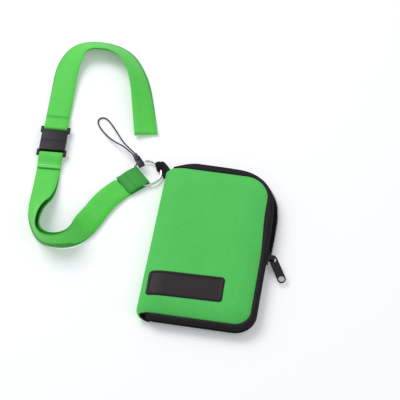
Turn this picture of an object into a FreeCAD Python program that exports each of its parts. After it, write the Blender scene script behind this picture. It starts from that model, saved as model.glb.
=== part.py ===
import FreeCAD, Part
import math
import os
import re

# A zip pouch on a neck lanyard.  The pouch lies on its back on z = 0, +Y towards its top edge, where the
# split ring hangs, and +X towards the zip.  The origin is the middle of the back face.  Millimetres.

DRIVING = {
    # pouch
    "pouch_width": 95.0,
    "pouch_height": 157.0,
    "pouch_depth": 16.6,
    "corner_radius": 17.0,
    "neoprene": 3.2,
    "edge_round": 1.4,
    "spine_round": 2.8,
    "fold_gap": 0.3,
    "seam_gap": 0.01,
    # black edge binding: the back one starts at rim_low, the front one ends rim_drop under the front face
    "binding_width": 6.2,
    "binding_round": 2.4,
    "binding_high": 3.3,
    "rim_low": 1.3,
    "rim_drop": 2.5,
    # zip
    "tape_thick": 0.6,
    "tape_inset": 1.3,
    "coil_inset": 0.6,
    "coil_thick": 2.0,
    "coil_high": 1.2,
    "coil_gap": 1.2,
    "flare_gap": 0.1,
    "flare_reach": 1.6,
    "flare_drop": 0.7,
    "flare_high": 1.5,
    "open_coil_high": 1.0,
    "open_coil_thick": 1.7,
    "open_tape_thick": 0.4,
    "link_length": 3.0,
    "stop_length": 2.4,
    "stop_grow": 0.35,
    # slider and its pull tab
    "slider_y": -3.6,
    "slider_length": 12.0,
    "slider_high": 3.6,
    "plate_thick": 1.1,
    "plate_gap": 0.35,
    "neck_thick": 0.6,
    "lug_thick": 0.6,
    "lug_length": 4.6,
    "lug_wall": 0.4,
    "pivot_reach": 3.6,
    "pivot_radius": 0.8,
    "pull_length": 21.6,
    "pull_width": 7.0,
    "pull_thick": 1.1,
    "pull_hole_radius": 2.5,
    "eye_radius": 2.3,
    "eye_play": 0.35,
    "pull_angle": -59.0,
    "pull_droop": 12.0,
    # label patch
    "patch_in": 4.4,
    "patch_up": 23.0,
    "patch_length": 61.0,
    "patch_width": 22.0,
    "patch_thick": 0.9,
    "patch_border": 2.2,
    "patch_rise": 0.7,
    "patch_round": 3.0,
    # corner tab loop
    "tab_in": 1.9,
    "tab_down": 8.1,
    "tab_angle": 185.6,
    "tab_width": 12.6,
    "tab_thick": 1.2,
    "tab_length": 12.3,
    "tab_tunnel": 7.5,
    "tab_high": 5.0,
    "tab_neck": 4.8,
    # split ring
    "ring_seat": 5.26,
    "ring_room": 1.7,
    "ring_wire": 1.5,
    "ring_high": 2.2,
    "ring_low": 1.65,
    # lanyard webbing
    "webbing_width": 20.0,
    "webbing_thick": 1.1,
    "under_low": 0.2,
    "upper_low": 1.7,
    "end_angle": 224.0,
    "end_bend": 2.774,
    "end_play": 0.6,
    "end_sewn": 10.2,
    "end_high": 5.0,
    "end_cover": 0.6,
    # breakaway buckle, its place given from the ring's centre
    "buckle_left": 84.0,
    "buckle_up": 19.2,
    "buckle_angle": 93.5,
    "buckle_body": 21.0,
    "buckle_over": 0.8,
    "half_gap": 0.15,
    "buckle_low": 1.7,
    "buckle_high": 5.0,
    "frame_reach": 4.6,
    "frame_ear": 2.1,
    "frame_play": 0.4,
    "frame_root": 1.0,
    "bar_radius": 1.0,
    "bar_play": 0.15,
    "prong_length": 8.0,
    "prong_width": 5.0,
    "prong_high": 2.2,
    "prong_wall": 2.2,
    "prong_play": 0.35,
    "prong_room": 0.6,
    "wrap_length": 28.0,
    "strap_gap": 0.6,
    # phone string
    "string_angle": 128.0,
    "string_place": 134.0,
    "string_width": 6.2,
    "string_high": 3.6,
    "string_low": 5.4,
    "socket_start": -6.6,
    "socket_length": 9.2,
    "plug_length": 5.3,
    "plug_gap": 0.1,
    "tongue_length": 4.0,
    "tongue_width": 3.0,
    "tongue_high": 1.5,
    "tongue_play": 0.25,
    "crimp_length": 5.0,
    "crimp_width": 4.8,
    "crimp_high": 2.4,
    "collar_width": 3.36,
    "collar_rise": 0.8,
    "cord_width": 1.3,
    "cord_spread": 1.95,
    "tie_cord": 0.9,
    "tie_inner": 1.9,
    "tie_middle": 3.05,
    # how far a cutting block reaches past what it cuts
    "beyond": 20.0,
}

# Worked out from the driving sizes above.
WORKED_OUT = {
    "rim_x": "pouch_width / 2",
    "rim_y": "pouch_height / 2",
    "panel_y": "rim_y - binding_width",
    "back_left": "-rim_x + neoprene",
    "front_left": "back_left + fold_gap",
    "front_low": "pouch_depth - neoprene",
    "zip_low": "rim_low + binding_high",
    "rim_high": "pouch_depth - rim_drop",
    "zip_high": "rim_high - binding_high",
    "mid_z": "(zip_low + zip_high) / 2",
    "under_coil_low": "mid_z - coil_gap / 2 - coil_high",
    "over_coil_low": "mid_z + coil_gap / 2",
    "plate_out_x": "rim_x - coil_inset + plate_gap",
    "plate_in_x": "rim_x - coil_inset - coil_thick - plate_gap - plate_thick",
    "pivot_x": "plate_out_x + plate_thick + pivot_reach",
    "patch_x": "patch_in + patch_length / 2 - rim_x",
    "patch_y": "patch_up + patch_width / 2 - rim_y",
    "tab_x": "tab_in - rim_x",
    "tab_y": "rim_y - tab_down",
    "ring_outer": "webbing_width / 2 + ring_room + ring_wire",
    "ring_mid": "ring_outer - ring_wire / 2",
    "ring_x": "tab_x + (tab_length + ring_mid - ring_seat) * cos(tab_angle)",
    "ring_y": "tab_y + (tab_length + ring_mid - ring_seat) * sin(tab_angle)",
    "end_reach": "sqrt((ring_outer - ring_wire) ^ 2 - (webbing_width / 2) ^ 2) - end_bend",
    "end_tunnel": "ring_outer + end_play - end_reach",
    "end_length": "end_tunnel + end_sewn",
    "buckle_x": "ring_x - buckle_left",
    "buckle_y": "ring_y + buckle_up",
    "buckle_width": "webbing_width + 2 * buckle_over",
    "frame_width": "webbing_width + 2 * (frame_play + frame_ear)",
    "string_mid": "string_low + string_high / 2",
    "socket_end": "socket_start + socket_length",
    "plug_start": "socket_end + plug_gap",
    "crimp_start": "plug_start + plug_length",
}

# The lanyard's route on the table, from the ring's centre: the middle line of the webbing, which starts at
# the ring's end loop.
TO_BUCKLE = [(-28.5, -31.5), (-38.0, -58.5), (-49.0, -82.5), (-76.0, -82.5), (-86.5, -59.5), (-82.0, -33.5)]
UNDER_BUCKLE = [(-82.6, -8.5), (-85.8, 34.5)]
PAST_BUCKLE = [(-88.5, 74.5), (-91.0, 105.5), (-81.0, 130.5), (-45.0, 129.5), (-26.0, 101.5), (-16.0, 67.5)]
FOLD = (-8.4, 41.9)

# The phone string's loop, from the crimp round and back to it.
STRING_LOOP = [
    (-23.0, 22.0), (-32.0, 27.0), (-40.5, 34.0), (-47.0, 41.0), (-51.2, 47.0), (-51.5, 51.7),
    (-47.8, 54.5), (-43.3, 52.3), (-39.0, 47.5), (-33.0, 39.5), (-27.0, 30.0), (-21.5, 23.0),
]

doc = FreeCAD.newDocument("LanyardPouch")
sheet = doc.addObject("Spreadsheet::Sheet", "sizes")
for row, (word, number) in enumerate(DRIVING.items(), start=1):
    sheet.set("A%d" % row, word)
    sheet.set("B%d" % row, str(number))
    sheet.setAlias("B%d" % row, word)
for row, (word, formula) in enumerate(WORKED_OUT.items(), start=1):
    sheet.set("C%d" % row, word)
    sheet.set("D%d" % row, "=" + formula)
    sheet.setAlias("D%d" % row, word)
doc.recompute()

WORDS = set(DRIVING) | set(WORKED_OUT)
TINY = 0.01
nodes = []


def size(word):
    """The number that the sheet holds for a word."""
    return float(sheet.get(word))


def sheet_word(found):
    """One of the sheet's words as an expression names it; any other word as it is."""
    return "sizes." + found[0] if found[0] in WORDS else found[0]


def bind(thing, prop, formula):
    """Bind a property to a formula of the sheet's words."""
    thing.setExpression(prop, re.sub(r"[a-z_]+", sheet_word, str(formula)))


def place(thing, at, yaw=0, pitch=0, roll=0):
    """Bind a thing's place and its turns about Z, Y and X."""
    bind(thing, "Placement", "placement(vector(%s; %s; %s); rotation(%s; %s; %s))" % (*at, yaw, pitch, roll))
    return thing


def block(name, low, span):
    """A box from its low corner and its three spans."""
    made = doc.addObject("Part::Box", name)
    for prop, formula in zip(("Length", "Width", "Height"), span):
        bind(made, prop, formula)
    return place(made, low)


def rod(name, base, radius, length, pitch=0, roll=0):
    """A cylinder that stands on its base: up, along +X with a pitch of 90, or along +Y with a roll of -90."""
    made = doc.addObject("Part::Cylinder", name)
    bind(made, "Radius", radius)
    bind(made, "Height", length)
    return place(made, base, pitch=pitch, roll=roll)


def fuse(name, *pieces):
    made = doc.addObject("Part::MultiFuse", name)
    made.Shapes = list(pieces)
    made.Refine = True
    return made


def cut(name, base, tool):
    made = doc.addObject("Part::Cut", name)
    made.Base = base
    made.Tool = tool
    return made


def common(name, base, tool):
    made = doc.addObject("Part::Common", name)
    made.Base = base
    made.Tool = tool
    return made


def node(thing, label):
    """Name a finished sub-part."""
    thing.Label = label
    nodes.append(thing)
    return thing


def along(edge, axis):
    """Whether an edge is straight and runs along an axis, 0 for X, 1 for Y, 2 for Z."""
    return edge.Curve.TypeId == "Part::GeomLine" and abs(edge.tangentAt(edge.FirstParameter)[axis]) > 0.999


def level(edge, height):
    """Whether an edge lies flat at a height."""
    return abs(edge.BoundBox.ZMin - height) < TINY and abs(edge.BoundBox.ZMax - height) < TINY


def round_off(body, base, name, radius, wanted):
    """Fillet the edges of a feature that wanted() picks."""
    doc.recompute()
    picked = ["Edge%d" % (i + 1) for i, edge in enumerate(base.Shape.Edges) if wanted(edge)]
    made = body.newObject("PartDesign::Fillet", name)
    made.Base = (base, picked)
    bind(made, "Radius", radius)
    body.Tip = made
    return made


def slab(name, inset, low, high, left="-rim_x", soften=None):
    """A slab with the pouch's outline, square at the spine and round at the two zip corners."""
    body = doc.addObject("PartDesign::Body", name)
    blank = body.newObject("PartDesign::AdditiveBox", name + "_blank")
    bind(blank, "Length", "rim_x - (%s) - (%s)" % (inset, left))
    bind(blank, "Width", "2 * (rim_y - (%s))" % inset)
    bind(blank, "Height", "(%s) - (%s)" % (high, low))
    place(blank, (left, "(%s) - rim_y" % inset, low))
    corners = round_off(
        body, blank, name + "_corners", "corner_radius - (%s)" % inset,
        lambda edge: along(edge, 2) and edge.CenterOfMass.x > 0,
    )
    if soften:
        face_z, radius = soften
        round_off(
            body, corners, name + "_soft", radius,
            lambda edge: level(edge, size(face_z)) and edge.CenterOfMass.x > -size("rim_x") / 2,
        )
    return body


def rim(name, outer, inner, low, high, soften=None):
    """A strip round the three zipped sides, between two insets, open at the spine."""
    whole = slab(name + "_outer", outer, low, high, soften=soften)
    hollow = slab(name + "_inner", inner, "(%s) - beyond" % low, "(%s) + beyond" % high, left="-rim_x - beyond")
    return cut(name, whole, hollow)


def shut_part(name, left, strip):
    """The part of a strip where the zip is closed, from the slider down and round to the spine."""
    keep = block(
        name + "_keep", (left, "-rim_y - beyond", "-beyond"),
        ("pouch_width + beyond", "rim_y + beyond + slider_y", "3 * beyond"),
    )
    return common(name, strip, keep)


def open_part(name, left, strip, start):
    """The part of a strip where the zip is open, from the slider up and round to the spine."""
    keep = block(
        name + "_keep", (left, start, "-beyond"),
        ("pouch_width + beyond", "rim_y + beyond - (%s)" % start, "3 * beyond"),
    )
    return common(name, strip, keep)


# ---- panels, spine and bindings -------------------------------------------------------------------

node(
    slab("back_panel", "binding_width", 0, "neoprene", left="back_left"),
    "back_panel",
)
node(
    slab("front_panel", "binding_width", "front_low", "pouch_depth", left="front_left",
         soften=("pouch_depth", "edge_round")),
    "front_panel",
)

spine_body = doc.addObject("PartDesign::Body", "spine")
spine_wall = spine_body.newObject("PartDesign::AdditiveBox", "spine_wall")
bind(spine_wall, "Length", "neoprene - seam_gap")
bind(spine_wall, "Width", "2 * panel_y")
bind(spine_wall, "Height", "pouch_depth")
place(spine_wall, ("-rim_x", "-panel_y", 0))
round_off(
    spine_body, spine_wall, "spine_soft", "spine_round",
    lambda edge: along(edge, 1) and edge.CenterOfMass.x < TINY - size("rim_x"),
)
node(spine_body, "spine")

node(
    rim("back_binding", 0, "binding_width", "rim_low", "zip_low", soften=("rim_low", "binding_round")),
    "back_binding",
)
front_rim = rim("front_rim", 0, "binding_width", "zip_high", "rim_high", soften=("rim_high", "binding_round"))
hinge_room = block(
    "hinge_room", ("-rim_x - beyond", "-rim_y - beyond", 0),
    ("neoprene + fold_gap + beyond", "pouch_height + 2 * beyond", "pouch_depth + beyond"),
)
node(cut("front_binding", front_rim, hinge_room), "front_binding")

# ---- zip: tapes and coils -------------------------------------------------------------------------

# Each half is two runs, shut and open, that part inside the slider.
# Back half: it stands up to the coil where the zip is shut, and lies flared outwards where it is open.
back_tape_shut = shut_part(
    "back_tape_shut", "back_left",
    rim("back_tape_wall", "tape_inset", "tape_inset + tape_thick", "zip_low", "under_coil_low"),
)
back_tape_open = open_part(
    "back_tape_open", "back_left",
    rim("back_tape_flap", "-flare_gap", "tape_inset + tape_thick", "zip_low", "zip_low + tape_thick"),
    "slider_y + link_length",
)
node(fuse("back_zip_tape", back_tape_shut, back_tape_open), "back_zip_tape")

back_coil_shut = shut_part(
    "back_coil_shut", "back_left",
    rim("back_coil_wall", "coil_inset", "coil_inset + coil_thick", "under_coil_low",
        "under_coil_low + coil_high"),
)
back_coil_open = open_part(
    "back_coil_open", "back_left",
    rim("back_coil_flap", "-flare_gap - flare_reach", "-flare_gap", "zip_low - flare_drop",
        "zip_low - flare_drop + flare_high"),
    "slider_y",
)
node(fuse("back_zip_coil", back_coil_shut, back_coil_open), "back_zip_coil")

# Front half: its open stretch is folded up against the front binding.
front_tape_shut = shut_part(
    "front_tape_shut", "front_left",
    rim("front_tape_wall", "tape_inset", "tape_inset + tape_thick", "over_coil_low + coil_high", "zip_high"),
)
front_tape_open = open_part(
    "front_tape_open", "front_left",
    rim("front_tape_fold", "coil_inset + open_coil_thick", "coil_inset + open_coil_thick + open_tape_thick",
        "zip_high - open_coil_high", "zip_high"),
    "slider_y",
)
node(fuse("front_zip_tape", front_tape_shut, front_tape_open), "front_zip_tape")

front_coil_shut = shut_part(
    "front_coil_shut", "front_left",
    rim("front_coil_wall", "coil_inset", "coil_inset + coil_thick", "over_coil_low",
        "over_coil_low + coil_high"),
)
front_coil_open = open_part(
    "front_coil_open", "front_left",
    rim("front_coil_fold", "coil_inset", "coil_inset + open_coil_thick", "zip_high - open_coil_high",
        "zip_high"),
    "slider_y",
)
node(fuse("front_zip_coil", front_coil_shut, front_coil_open), "front_zip_coil")

# Stops: one at the start of each open coil, and one across both coils where the zip ends.
node(
    block(
        "back_top_stop", ("back_left - stop_length", "rim_y + flare_gap", "zip_low - flare_drop - stop_grow"),
        ("stop_length", "flare_reach + stop_grow", "flare_high + 2 * stop_grow"),
    ),
    "back_top_stop",
)
node(
    block(
        "front_top_stop",
        ("front_left - stop_length", "rim_y - coil_inset - open_coil_thick - stop_grow",
         "zip_high - open_coil_high - stop_grow"),
        ("stop_length", "open_coil_thick + 2 * stop_grow", "open_coil_high + stop_grow"),
    ),
    "front_top_stop",
)
node(
    block(
        "end_stop",
        ("back_left - stop_length", "coil_inset - rim_y - stop_grow", "under_coil_low - stop_grow"),
        ("stop_length", "coil_thick + 2 * stop_grow", "mid_z + coil_high - under_coil_low + stop_grow"),
    ),
    "end_stop",
)

# ---- slider and pull tab --------------------------------------------------------------------------

plate_span = ("plate_thick", "slider_length", "slider_high")
plate_low_y = "slider_y - slider_length / 2"
outer_plate = block("outer_plate", ("plate_out_x", plate_low_y, "mid_z - slider_high / 2"), plate_span)
inner_plate = block("inner_plate", ("plate_in_x", plate_low_y, "mid_z - slider_high / 2"), plate_span)
neck = block(
    "neck", ("plate_in_x", "slider_y + slider_length / 2 - link_length", "mid_z - neck_thick / 2"),
    ("plate_out_x + plate_thick - plate_in_x", "link_length", "neck_thick"),
)
lug_span = ("pivot_reach + pivot_radius + lug_wall", "lug_length", "lug_thick")
lug_low_y = "slider_y - lug_length / 2"
lower_lug = block("lower_lug", ("plate_out_x + plate_thick", lug_low_y, "mid_z - slider_high / 2"), lug_span)
upper_lug = block(
    "upper_lug", ("plate_out_x + plate_thick", lug_low_y, "mid_z + slider_high / 2 - lug_thick"), lug_span,
)
pivot = rod("pivot", ("pivot_x", "slider_y", "mid_z - slider_high / 2"), "pivot_radius", "slider_high")
node(fuse("slider", outer_plate, inner_plate, neck, lower_lug, upper_lug, pivot), "slider")

# The pull tab lies along +X from the pivot before it droops and turns.
tab_start = "eye_radius - pivot_radius - eye_play"
tab_span = "pull_length - pull_width / 2 - eye_play"
tab_finish = "%s + %s" % (tab_start, tab_span)
tab_plate = block(
    "tab_plate", (tab_start, "-pull_width / 2", "-pull_thick / 2"), (tab_span, "pull_width", "pull_thick"),
)
tab_eye_end = rod("tab_eye_end", (tab_start, 0, "-pull_thick / 2"), "pull_width / 2", "pull_thick")
tab_far_end = rod("tab_far_end", (tab_finish, 0, "-pull_thick / 2"), "pull_width / 2", "pull_thick")
tab_eye = rod("tab_eye", (tab_start, 0, "-pull_thick"), "eye_radius", "2 * pull_thick")
tab_hole = rod("tab_hole", (tab_finish, 0, "-pull_thick"), "pull_hole_radius", "2 * pull_thick")
pull_tab = cut(
    "pull_tab", fuse("tab_blank", tab_plate, tab_eye_end, tab_far_end), fuse("tab_holes", tab_eye, tab_hole),
)
place(pull_tab, ("pivot_x", "slider_y", "mid_z"), yaw="pull_angle", pitch="pull_droop")
node(pull_tab, "pull_tab")

# ---- label patch and corner tab -------------------------------------------------------------------


def rounded_plate(name, length, width, low, high, radius):
    """A plate about its own middle, with round corners."""
    body = doc.addObject("PartDesign::Body", name)
    blank = body.newObject("PartDesign::AdditiveBox", name + "_blank")
    bind(blank, "Length", length)
    bind(blank, "Width", width)
    bind(blank, "Height", "(%s) - (%s)" % (high, low))
    place(blank, ("-(%s) / 2" % length, "-(%s) / 2" % width, low))
    round_off(body, blank, name + "_corners", radius, lambda edge: along(edge, 2))
    return body


patch_plate = rounded_plate(
    "patch_plate", "patch_length", "patch_width", "0", "patch_thick + patch_rise", "patch_round",
)
patch_field = rounded_plate(
    "patch_field", "patch_length - 2 * patch_border", "patch_width - 2 * patch_border", "patch_thick", "beyond",
    "patch_round - patch_border / 2",
)
label_patch = cut("label_patch", patch_plate, patch_field)
place(label_patch, ("patch_x", "patch_y", "pouch_depth"))
node(label_patch, "label_patch")


def webbing_loop(name, width, thick, reach, tunnel, length, low, high, neck):
    """A strip folded round something and sewn to itself.

    It lies along +X from the fold, reach before x = 0, with an open tunnel and then a sewn neck."""
    fold_radius = "((%s) - (%s)) / 2" % (high, low)
    mid_height = "((%s) + (%s)) / 2" % (high, low)
    fold_x = "%s - (%s)" % (fold_radius, reach)
    outside = fuse(
        name + "_outside",
        rod(name + "_fold", (fold_x, "-(%s) / 2" % width, mid_height), fold_radius, width, roll=-90),
        block(
            name + "_legs", (fold_x, "-(%s) / 2" % width, low),
            ("(%s) + (%s) - (%s)" % (tunnel, thick, fold_radius), width, "(%s) - (%s)" % (high, low)),
        ),
        block(
            name + "_neck", ("(%s) - (%s)" % (tunnel, reach), "-(%s) / 2" % width, low),
            ("(%s) - (%s)" % (length, tunnel), width, neck),
        ),
    )
    inside = fuse(
        name + "_inside",
        rod(
            name + "_bend", (fold_x, "-(%s)" % width, mid_height), "%s - (%s)" % (fold_radius, thick),
            "2 * (%s)" % width, roll=-90,
        ),
        block(
            name + "_tunnel", (fold_x, "-(%s)" % width, "(%s) + (%s)" % (low, thick)),
            ("(%s) - (%s)" % (tunnel, fold_radius), "2 * (%s)" % width,
             "(%s) - (%s) - 2 * (%s)" % (high, low, thick)),
        ),
    )
    return cut(name, outside, inside)


# The corner tab's fold is at the ring; its neck is sewn into the pouch's corner.
tab_loop = webbing_loop(
    "tab_loop", "tab_width", "tab_thick", "0", "tab_tunnel", "tab_length", "under_low", "under_low + tab_high",
    "tab_neck",
)
tab_fold_at = ("tab_x + tab_length * cos(tab_angle)", "tab_y + tab_length * sin(tab_angle)", 0)
place(tab_loop, tab_fold_at, yaw="tab_angle + 180")
node(tab_loop, "corner_tab_loop")

# ---- split ring and the lanyard's end loop --------------------------------------------------------

ring_at = ("ring_x", "ring_y", "ring_low")
ring_disc = rod("ring_disc", ring_at, "ring_outer", "ring_high")
ring_space = rod("ring_space", ("ring_x", "ring_y", 0), "ring_outer - ring_wire", "beyond")
node(cut("split_ring", ring_disc, ring_space), "split_ring")

end_loop = webbing_loop(
    "end_loop", "webbing_width", "webbing_thick", "-end_reach", "end_tunnel", "end_length", "under_low",
    "under_low + end_high", "upper_low + webbing_thick + end_cover - under_low",
)
place(end_loop, ("ring_x", "ring_y", 0), yaw="end_angle")
node(end_loop, "ring_end_loop")

# ---- breakaway buckle -----------------------------------------------------------------------------
# Its own +X runs from the near strap to the far strap; the middle of the body is at x = 0.


def buckle_frame(name, side):
    """The slotted frame and bar at one end of the buckle, -1 for the near end and 1 for the far end."""
    body_end = "%d * buckle_body / 2" % side
    outer_x = "%d * (buckle_body / 2 + frame_reach)" % side
    bar_low = "buckle_low + buckle_high / 2 - bar_radius"
    ears = [
        block(
            "%s_ear_%d" % (name, hand),
            (body_end if side > 0 else outer_x, low_y, bar_low), ("frame_reach", "frame_ear", "2 * bar_radius"),
        )
        for hand, low_y in ((-1, "-frame_width / 2"), (1, "frame_width / 2 - frame_ear"))
    ]
    root = block(
        name + "_root",
        (body_end + (" - frame_root" if side > 0 else ""), "-frame_width / 2", bar_low),
        ("frame_root", "frame_width", "2 * bar_radius"),
    )
    bar_at = ("%s - %d * bar_radius" % (outer_x, side), "-frame_width / 2", "buckle_low + buckle_high / 2")
    bar = rod(name + "_bar", bar_at, "bar_radius", "frame_width", roll=-90)
    return ears + [root, bar]


def prong_block(name, hand, play, room):
    """A prong of the plug, or with play and room the hollow in the socket that takes it; hand is -1 or 1."""
    mid_y = "%d * (buckle_width / 2 - prong_wall - prong_width / 2)" % hand
    return block(
        name,
        ("-prong_length - %s" % room, "%s - prong_width / 2 - %s" % (mid_y, play),
         "buckle_low + buckle_high / 2 - prong_high / 2 - %s" % play),
        ("prong_length + %s + frame_root" % room, "prong_width + 2 * %s" % play, "prong_high + 2 * %s" % play),
    )


near_half = block(
    "near_half", ("-buckle_body / 2", "-buckle_width / 2", "buckle_low"),
    ("buckle_body / 2", "buckle_width", "buckle_high"),
)
far_half = block(
    "far_half", ("half_gap", "-buckle_width / 2", "buckle_low"),
    ("buckle_body / 2 - half_gap", "buckle_width", "buckle_high"),
)
hollows = [prong_block("hollow_%d" % hand, hand, "prong_play", "prong_room") for hand in (-1, 1)]
prongs = [prong_block("prong_%d" % hand, hand, "0", "0") for hand in (-1, 1)]
socket_solid = fuse("socket_solid", near_half, *buckle_frame("socket_frame", -1))
socket = cut("buckle_socket", socket_solid, fuse("prong_hollows", *hollows))
place(socket, ("buckle_x", "buckle_y", 0), yaw="buckle_angle")
node(socket, "buckle_socket")

plug = fuse("buckle_plug", far_half, *buckle_frame("plug_frame", 1), *prongs)
place(plug, ("buckle_x", "buckle_y", 0), yaw="buckle_angle")
node(plug, "buckle_plug")

bar_x = "(buckle_body / 2 + frame_reach - bar_radius)"
wrap_half = "(bar_radius + bar_play + webbing_thick)"
for label, turn in (("near_buckle_loop", 180), ("far_buckle_loop", 0)):
    wrap = webbing_loop(
        label, "webbing_width", "webbing_thick", "-(%s - %s)" % (bar_x, wrap_half),
        "2 * %s - webbing_thick" % wrap_half, "wrap_length - %s + %s" % (bar_x, wrap_half),
        "buckle_low + buckle_high / 2 - %s" % wrap_half, "buckle_low + buckle_high / 2 + %s" % wrap_half,
        "2 * webbing_thick",
    )
    place(wrap, ("buckle_x", "buckle_y", 0), yaw="buckle_angle + %d" % turn)
    node(wrap, label)

# ---- webbing straps -------------------------------------------------------------------------------


def arc_run(start, corner, end, radius):
    """The tangent points and the middle of the arc that rounds a corner."""
    back = (start - corner).normalize()
    ahead = (end - corner).normalize()
    half = back.getAngle(ahead) / 2
    reach = radius / math.tan(half)
    middle = corner + (back + ahead).normalize() * (radius / math.sin(half) - radius)
    return corner + back * reach, middle, corner + ahead * reach


def from_ring(points):
    """A route's points in the pouch's frame."""
    return [(size("ring_x") + x, size("ring_y") + y) for x, y in points]


def rounded_route(points, shift, print_name=None):
    """Straight runs and tangent arcs along a route, moved sideways by shift."""
    spots = [FreeCAD.Vector(x, y, 0) for x, y in points]
    pieces = []
    last = None
    for index in range(1, len(spots) - 1):
        before, corner, after = spots[index - 1:index + 2]
        back = before - corner
        ahead = after - corner
        turn = math.pi - back.getAngle(ahead)
        radius = 0.45 * min(back.Length, ahead.Length) / math.tan(turn / 2)
        if print_name:
            print("%s corner %d: turn %.0f, radius %.1f mm" % (print_name, index, math.degrees(turn), radius))
        first, middle, second = arc_run(before, corner, after, radius)
        left_hand = 1 if (corner - before).cross(after - corner).z > 0 else -1
        centre = corner + (back.normalize() + ahead.normalize()).normalize() * (radius / math.cos(turn / 2))
        scale = (radius - left_hand * shift) / radius
        moved = [centre + (spot - centre) * scale for spot in (first, middle, second)]
        if last is None:
            along_run = (corner - before).normalize()
            last = before + FreeCAD.Vector(-along_run.y, along_run.x, 0) * shift
        pieces.append(Part.LineSegment(last, moved[0]).toShape())
        pieces.append(Part.Arc(*moved).toShape())
        last = moved[2]
    along_run = (spots[-1] - spots[-2]).normalize()
    finish = spots[-1] + FreeCAD.Vector(-along_run.y, along_run.x, 0) * shift
    pieces.append(Part.LineSegment(last, finish).toShape())
    return pieces


def strap(label, points, low):
    """A flat strap of webbing along a route, its underside at a height."""
    half = size("webbing_width") / 2
    thick = size("webbing_thick")
    middle = rounded_route(points, 0, label)
    left = rounded_route(points, half)
    right = rounded_route(points, -half)
    caps = [
        Part.LineSegment(edges_left, edges_right).toShape()
        for edges_left, edges_right in (
            (left[0].firstVertex(True).Point, right[0].firstVertex(True).Point),
            (left[-1].lastVertex(True).Point, right[-1].lastVertex(True).Point),
        )
    ]
    outline = Part.Wire(Part.__sortEdges__(left + right + caps))
    solid = Part.Face(outline).extrude(FreeCAD.Vector(0, 0, thick))
    length = sum(edge.Length for edge in middle)
    wanted = length * 2 * half * thick
    print("%s: length %.1f mm, volume %.0f against %.0f mm3" % (label, length, solid.Volume, wanted))
    made = doc.addObject("Part::Feature", label)
    made.Shape = solid
    made.Placement = FreeCAD.Placement(FreeCAD.Vector(0, 0, low), FreeCAD.Rotation())
    return node(made, label)


def out_from(x, y, angle, reach):
    """The point that lies a reach away from another, at an angle."""
    turn = math.radians(angle)
    return (x + reach * math.cos(turn), y + reach * math.sin(turn))


ring_centre = (size("ring_x"), size("ring_y"))
ring_end = out_from(*ring_centre, size("end_angle"), size("end_reach") + size("end_length"))
buckle_at = (size("buckle_x"), size("buckle_y"))
near_end = out_from(*buckle_at, size("buckle_angle") + 180, size("wrap_length") + size("strap_gap"))
far_end = out_from(*buckle_at, size("buckle_angle"), size("wrap_length") + size("strap_gap"))
to_buckle = from_ring(TO_BUCKLE)
past_buckle = from_ring([*PAST_BUCKLE, FOLD])
strap("near_strap", [ring_end, *to_buckle, near_end], size("upper_low"))
strap("far_strap", [far_end, *past_buckle], size("upper_low"))
strap("under_strap", [ring_end, *to_buckle, *from_ring(UNDER_BUCKLE), *past_buckle], size("under_low"))

# The fold where the far strap turns back under itself.
fold_x, fold_y = past_buckle[-1]
fold_turn = math.degrees(math.atan2(fold_y - past_buckle[-2][1], fold_x - past_buckle[-2][0]))
fold_radius = "(upper_low + webbing_thick - under_low) / 2"
fold_mid = "under_low + " + fold_radius
fold_bend = rod("fold_bend", (0, "-webbing_width / 2", fold_mid), fold_radius, "webbing_width", roll=-90)
fold_space = rod(
    "fold_space", (0, "-webbing_width", fold_mid), fold_radius + " - webbing_thick", "2 * webbing_width", roll=-90,
)
fold_front = block("fold_front", (0, "-webbing_width", 0), ("beyond", "2 * webbing_width", "beyond"))
strap_fold = common("strap_fold", cut("fold_tube", fold_bend, fold_space), fold_front)
place(strap_fold, (fold_x, fold_y, 0), yaw=fold_turn)
node(strap_fold, "strap_fold")

# ---- phone string ---------------------------------------------------------------------------------
# Its own +X runs outwards, and x = 0 is over the ring's wire.

string_at = ("ring_x + ring_mid * cos(string_place)", "ring_y + ring_mid * sin(string_place)", 0)


def string_block(name, start, length, width, high):
    """A block of the connector, about its own centre line."""
    return block(name, (start, "-(%s) / 2" % width, "string_mid - (%s) / 2" % high), (length, width, high))


def place_string(thing):
    return place(thing, string_at, yaw="string_angle")


string_socket = cut(
    "string_socket",
    string_block("socket_block", "socket_start", "socket_length", "string_width", "string_high"),
    string_block(
        "tongue_hollow", "socket_end - tongue_length - tongue_play", "tongue_length + tongue_play + 1",
        "tongue_width + 2 * tongue_play", "tongue_high + 2 * tongue_play",
    ),
)
node(place_string(string_socket), "string_socket")

string_plug = fuse(
    "string_plug",
    string_block("plug_block", "plug_start", "plug_length", "string_width", "string_high"),
    string_block("tongue", "socket_end - tongue_length", "tongue_length + 1", "tongue_width", "tongue_high"),
)
node(place_string(string_plug), "string_plug")

string_crimp = fuse(
    "string_crimp",
    string_block("crimp_block", "crimp_start", "crimp_length", "crimp_width", "crimp_high"),
    string_block("crimp_collar", "crimp_start", "crimp_length / 2", "collar_width", "crimp_high + collar_rise"),
)
node(place_string(string_crimp), "string_crimp")

# The short cord that ties the socket to the ring's wire stands across the wire.
string_tie = cut(
    "string_tie",
    rod("tie_outside", (0, "-tie_cord / 2", "tie_middle"), "tie_inner + tie_cord", "tie_cord", roll=-90),
    rod("tie_inside", (0, "-tie_cord", "tie_middle"), "tie_inner", "2 * tie_cord", roll=-90),
)
node(place_string(string_tie), "string_tie")


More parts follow.
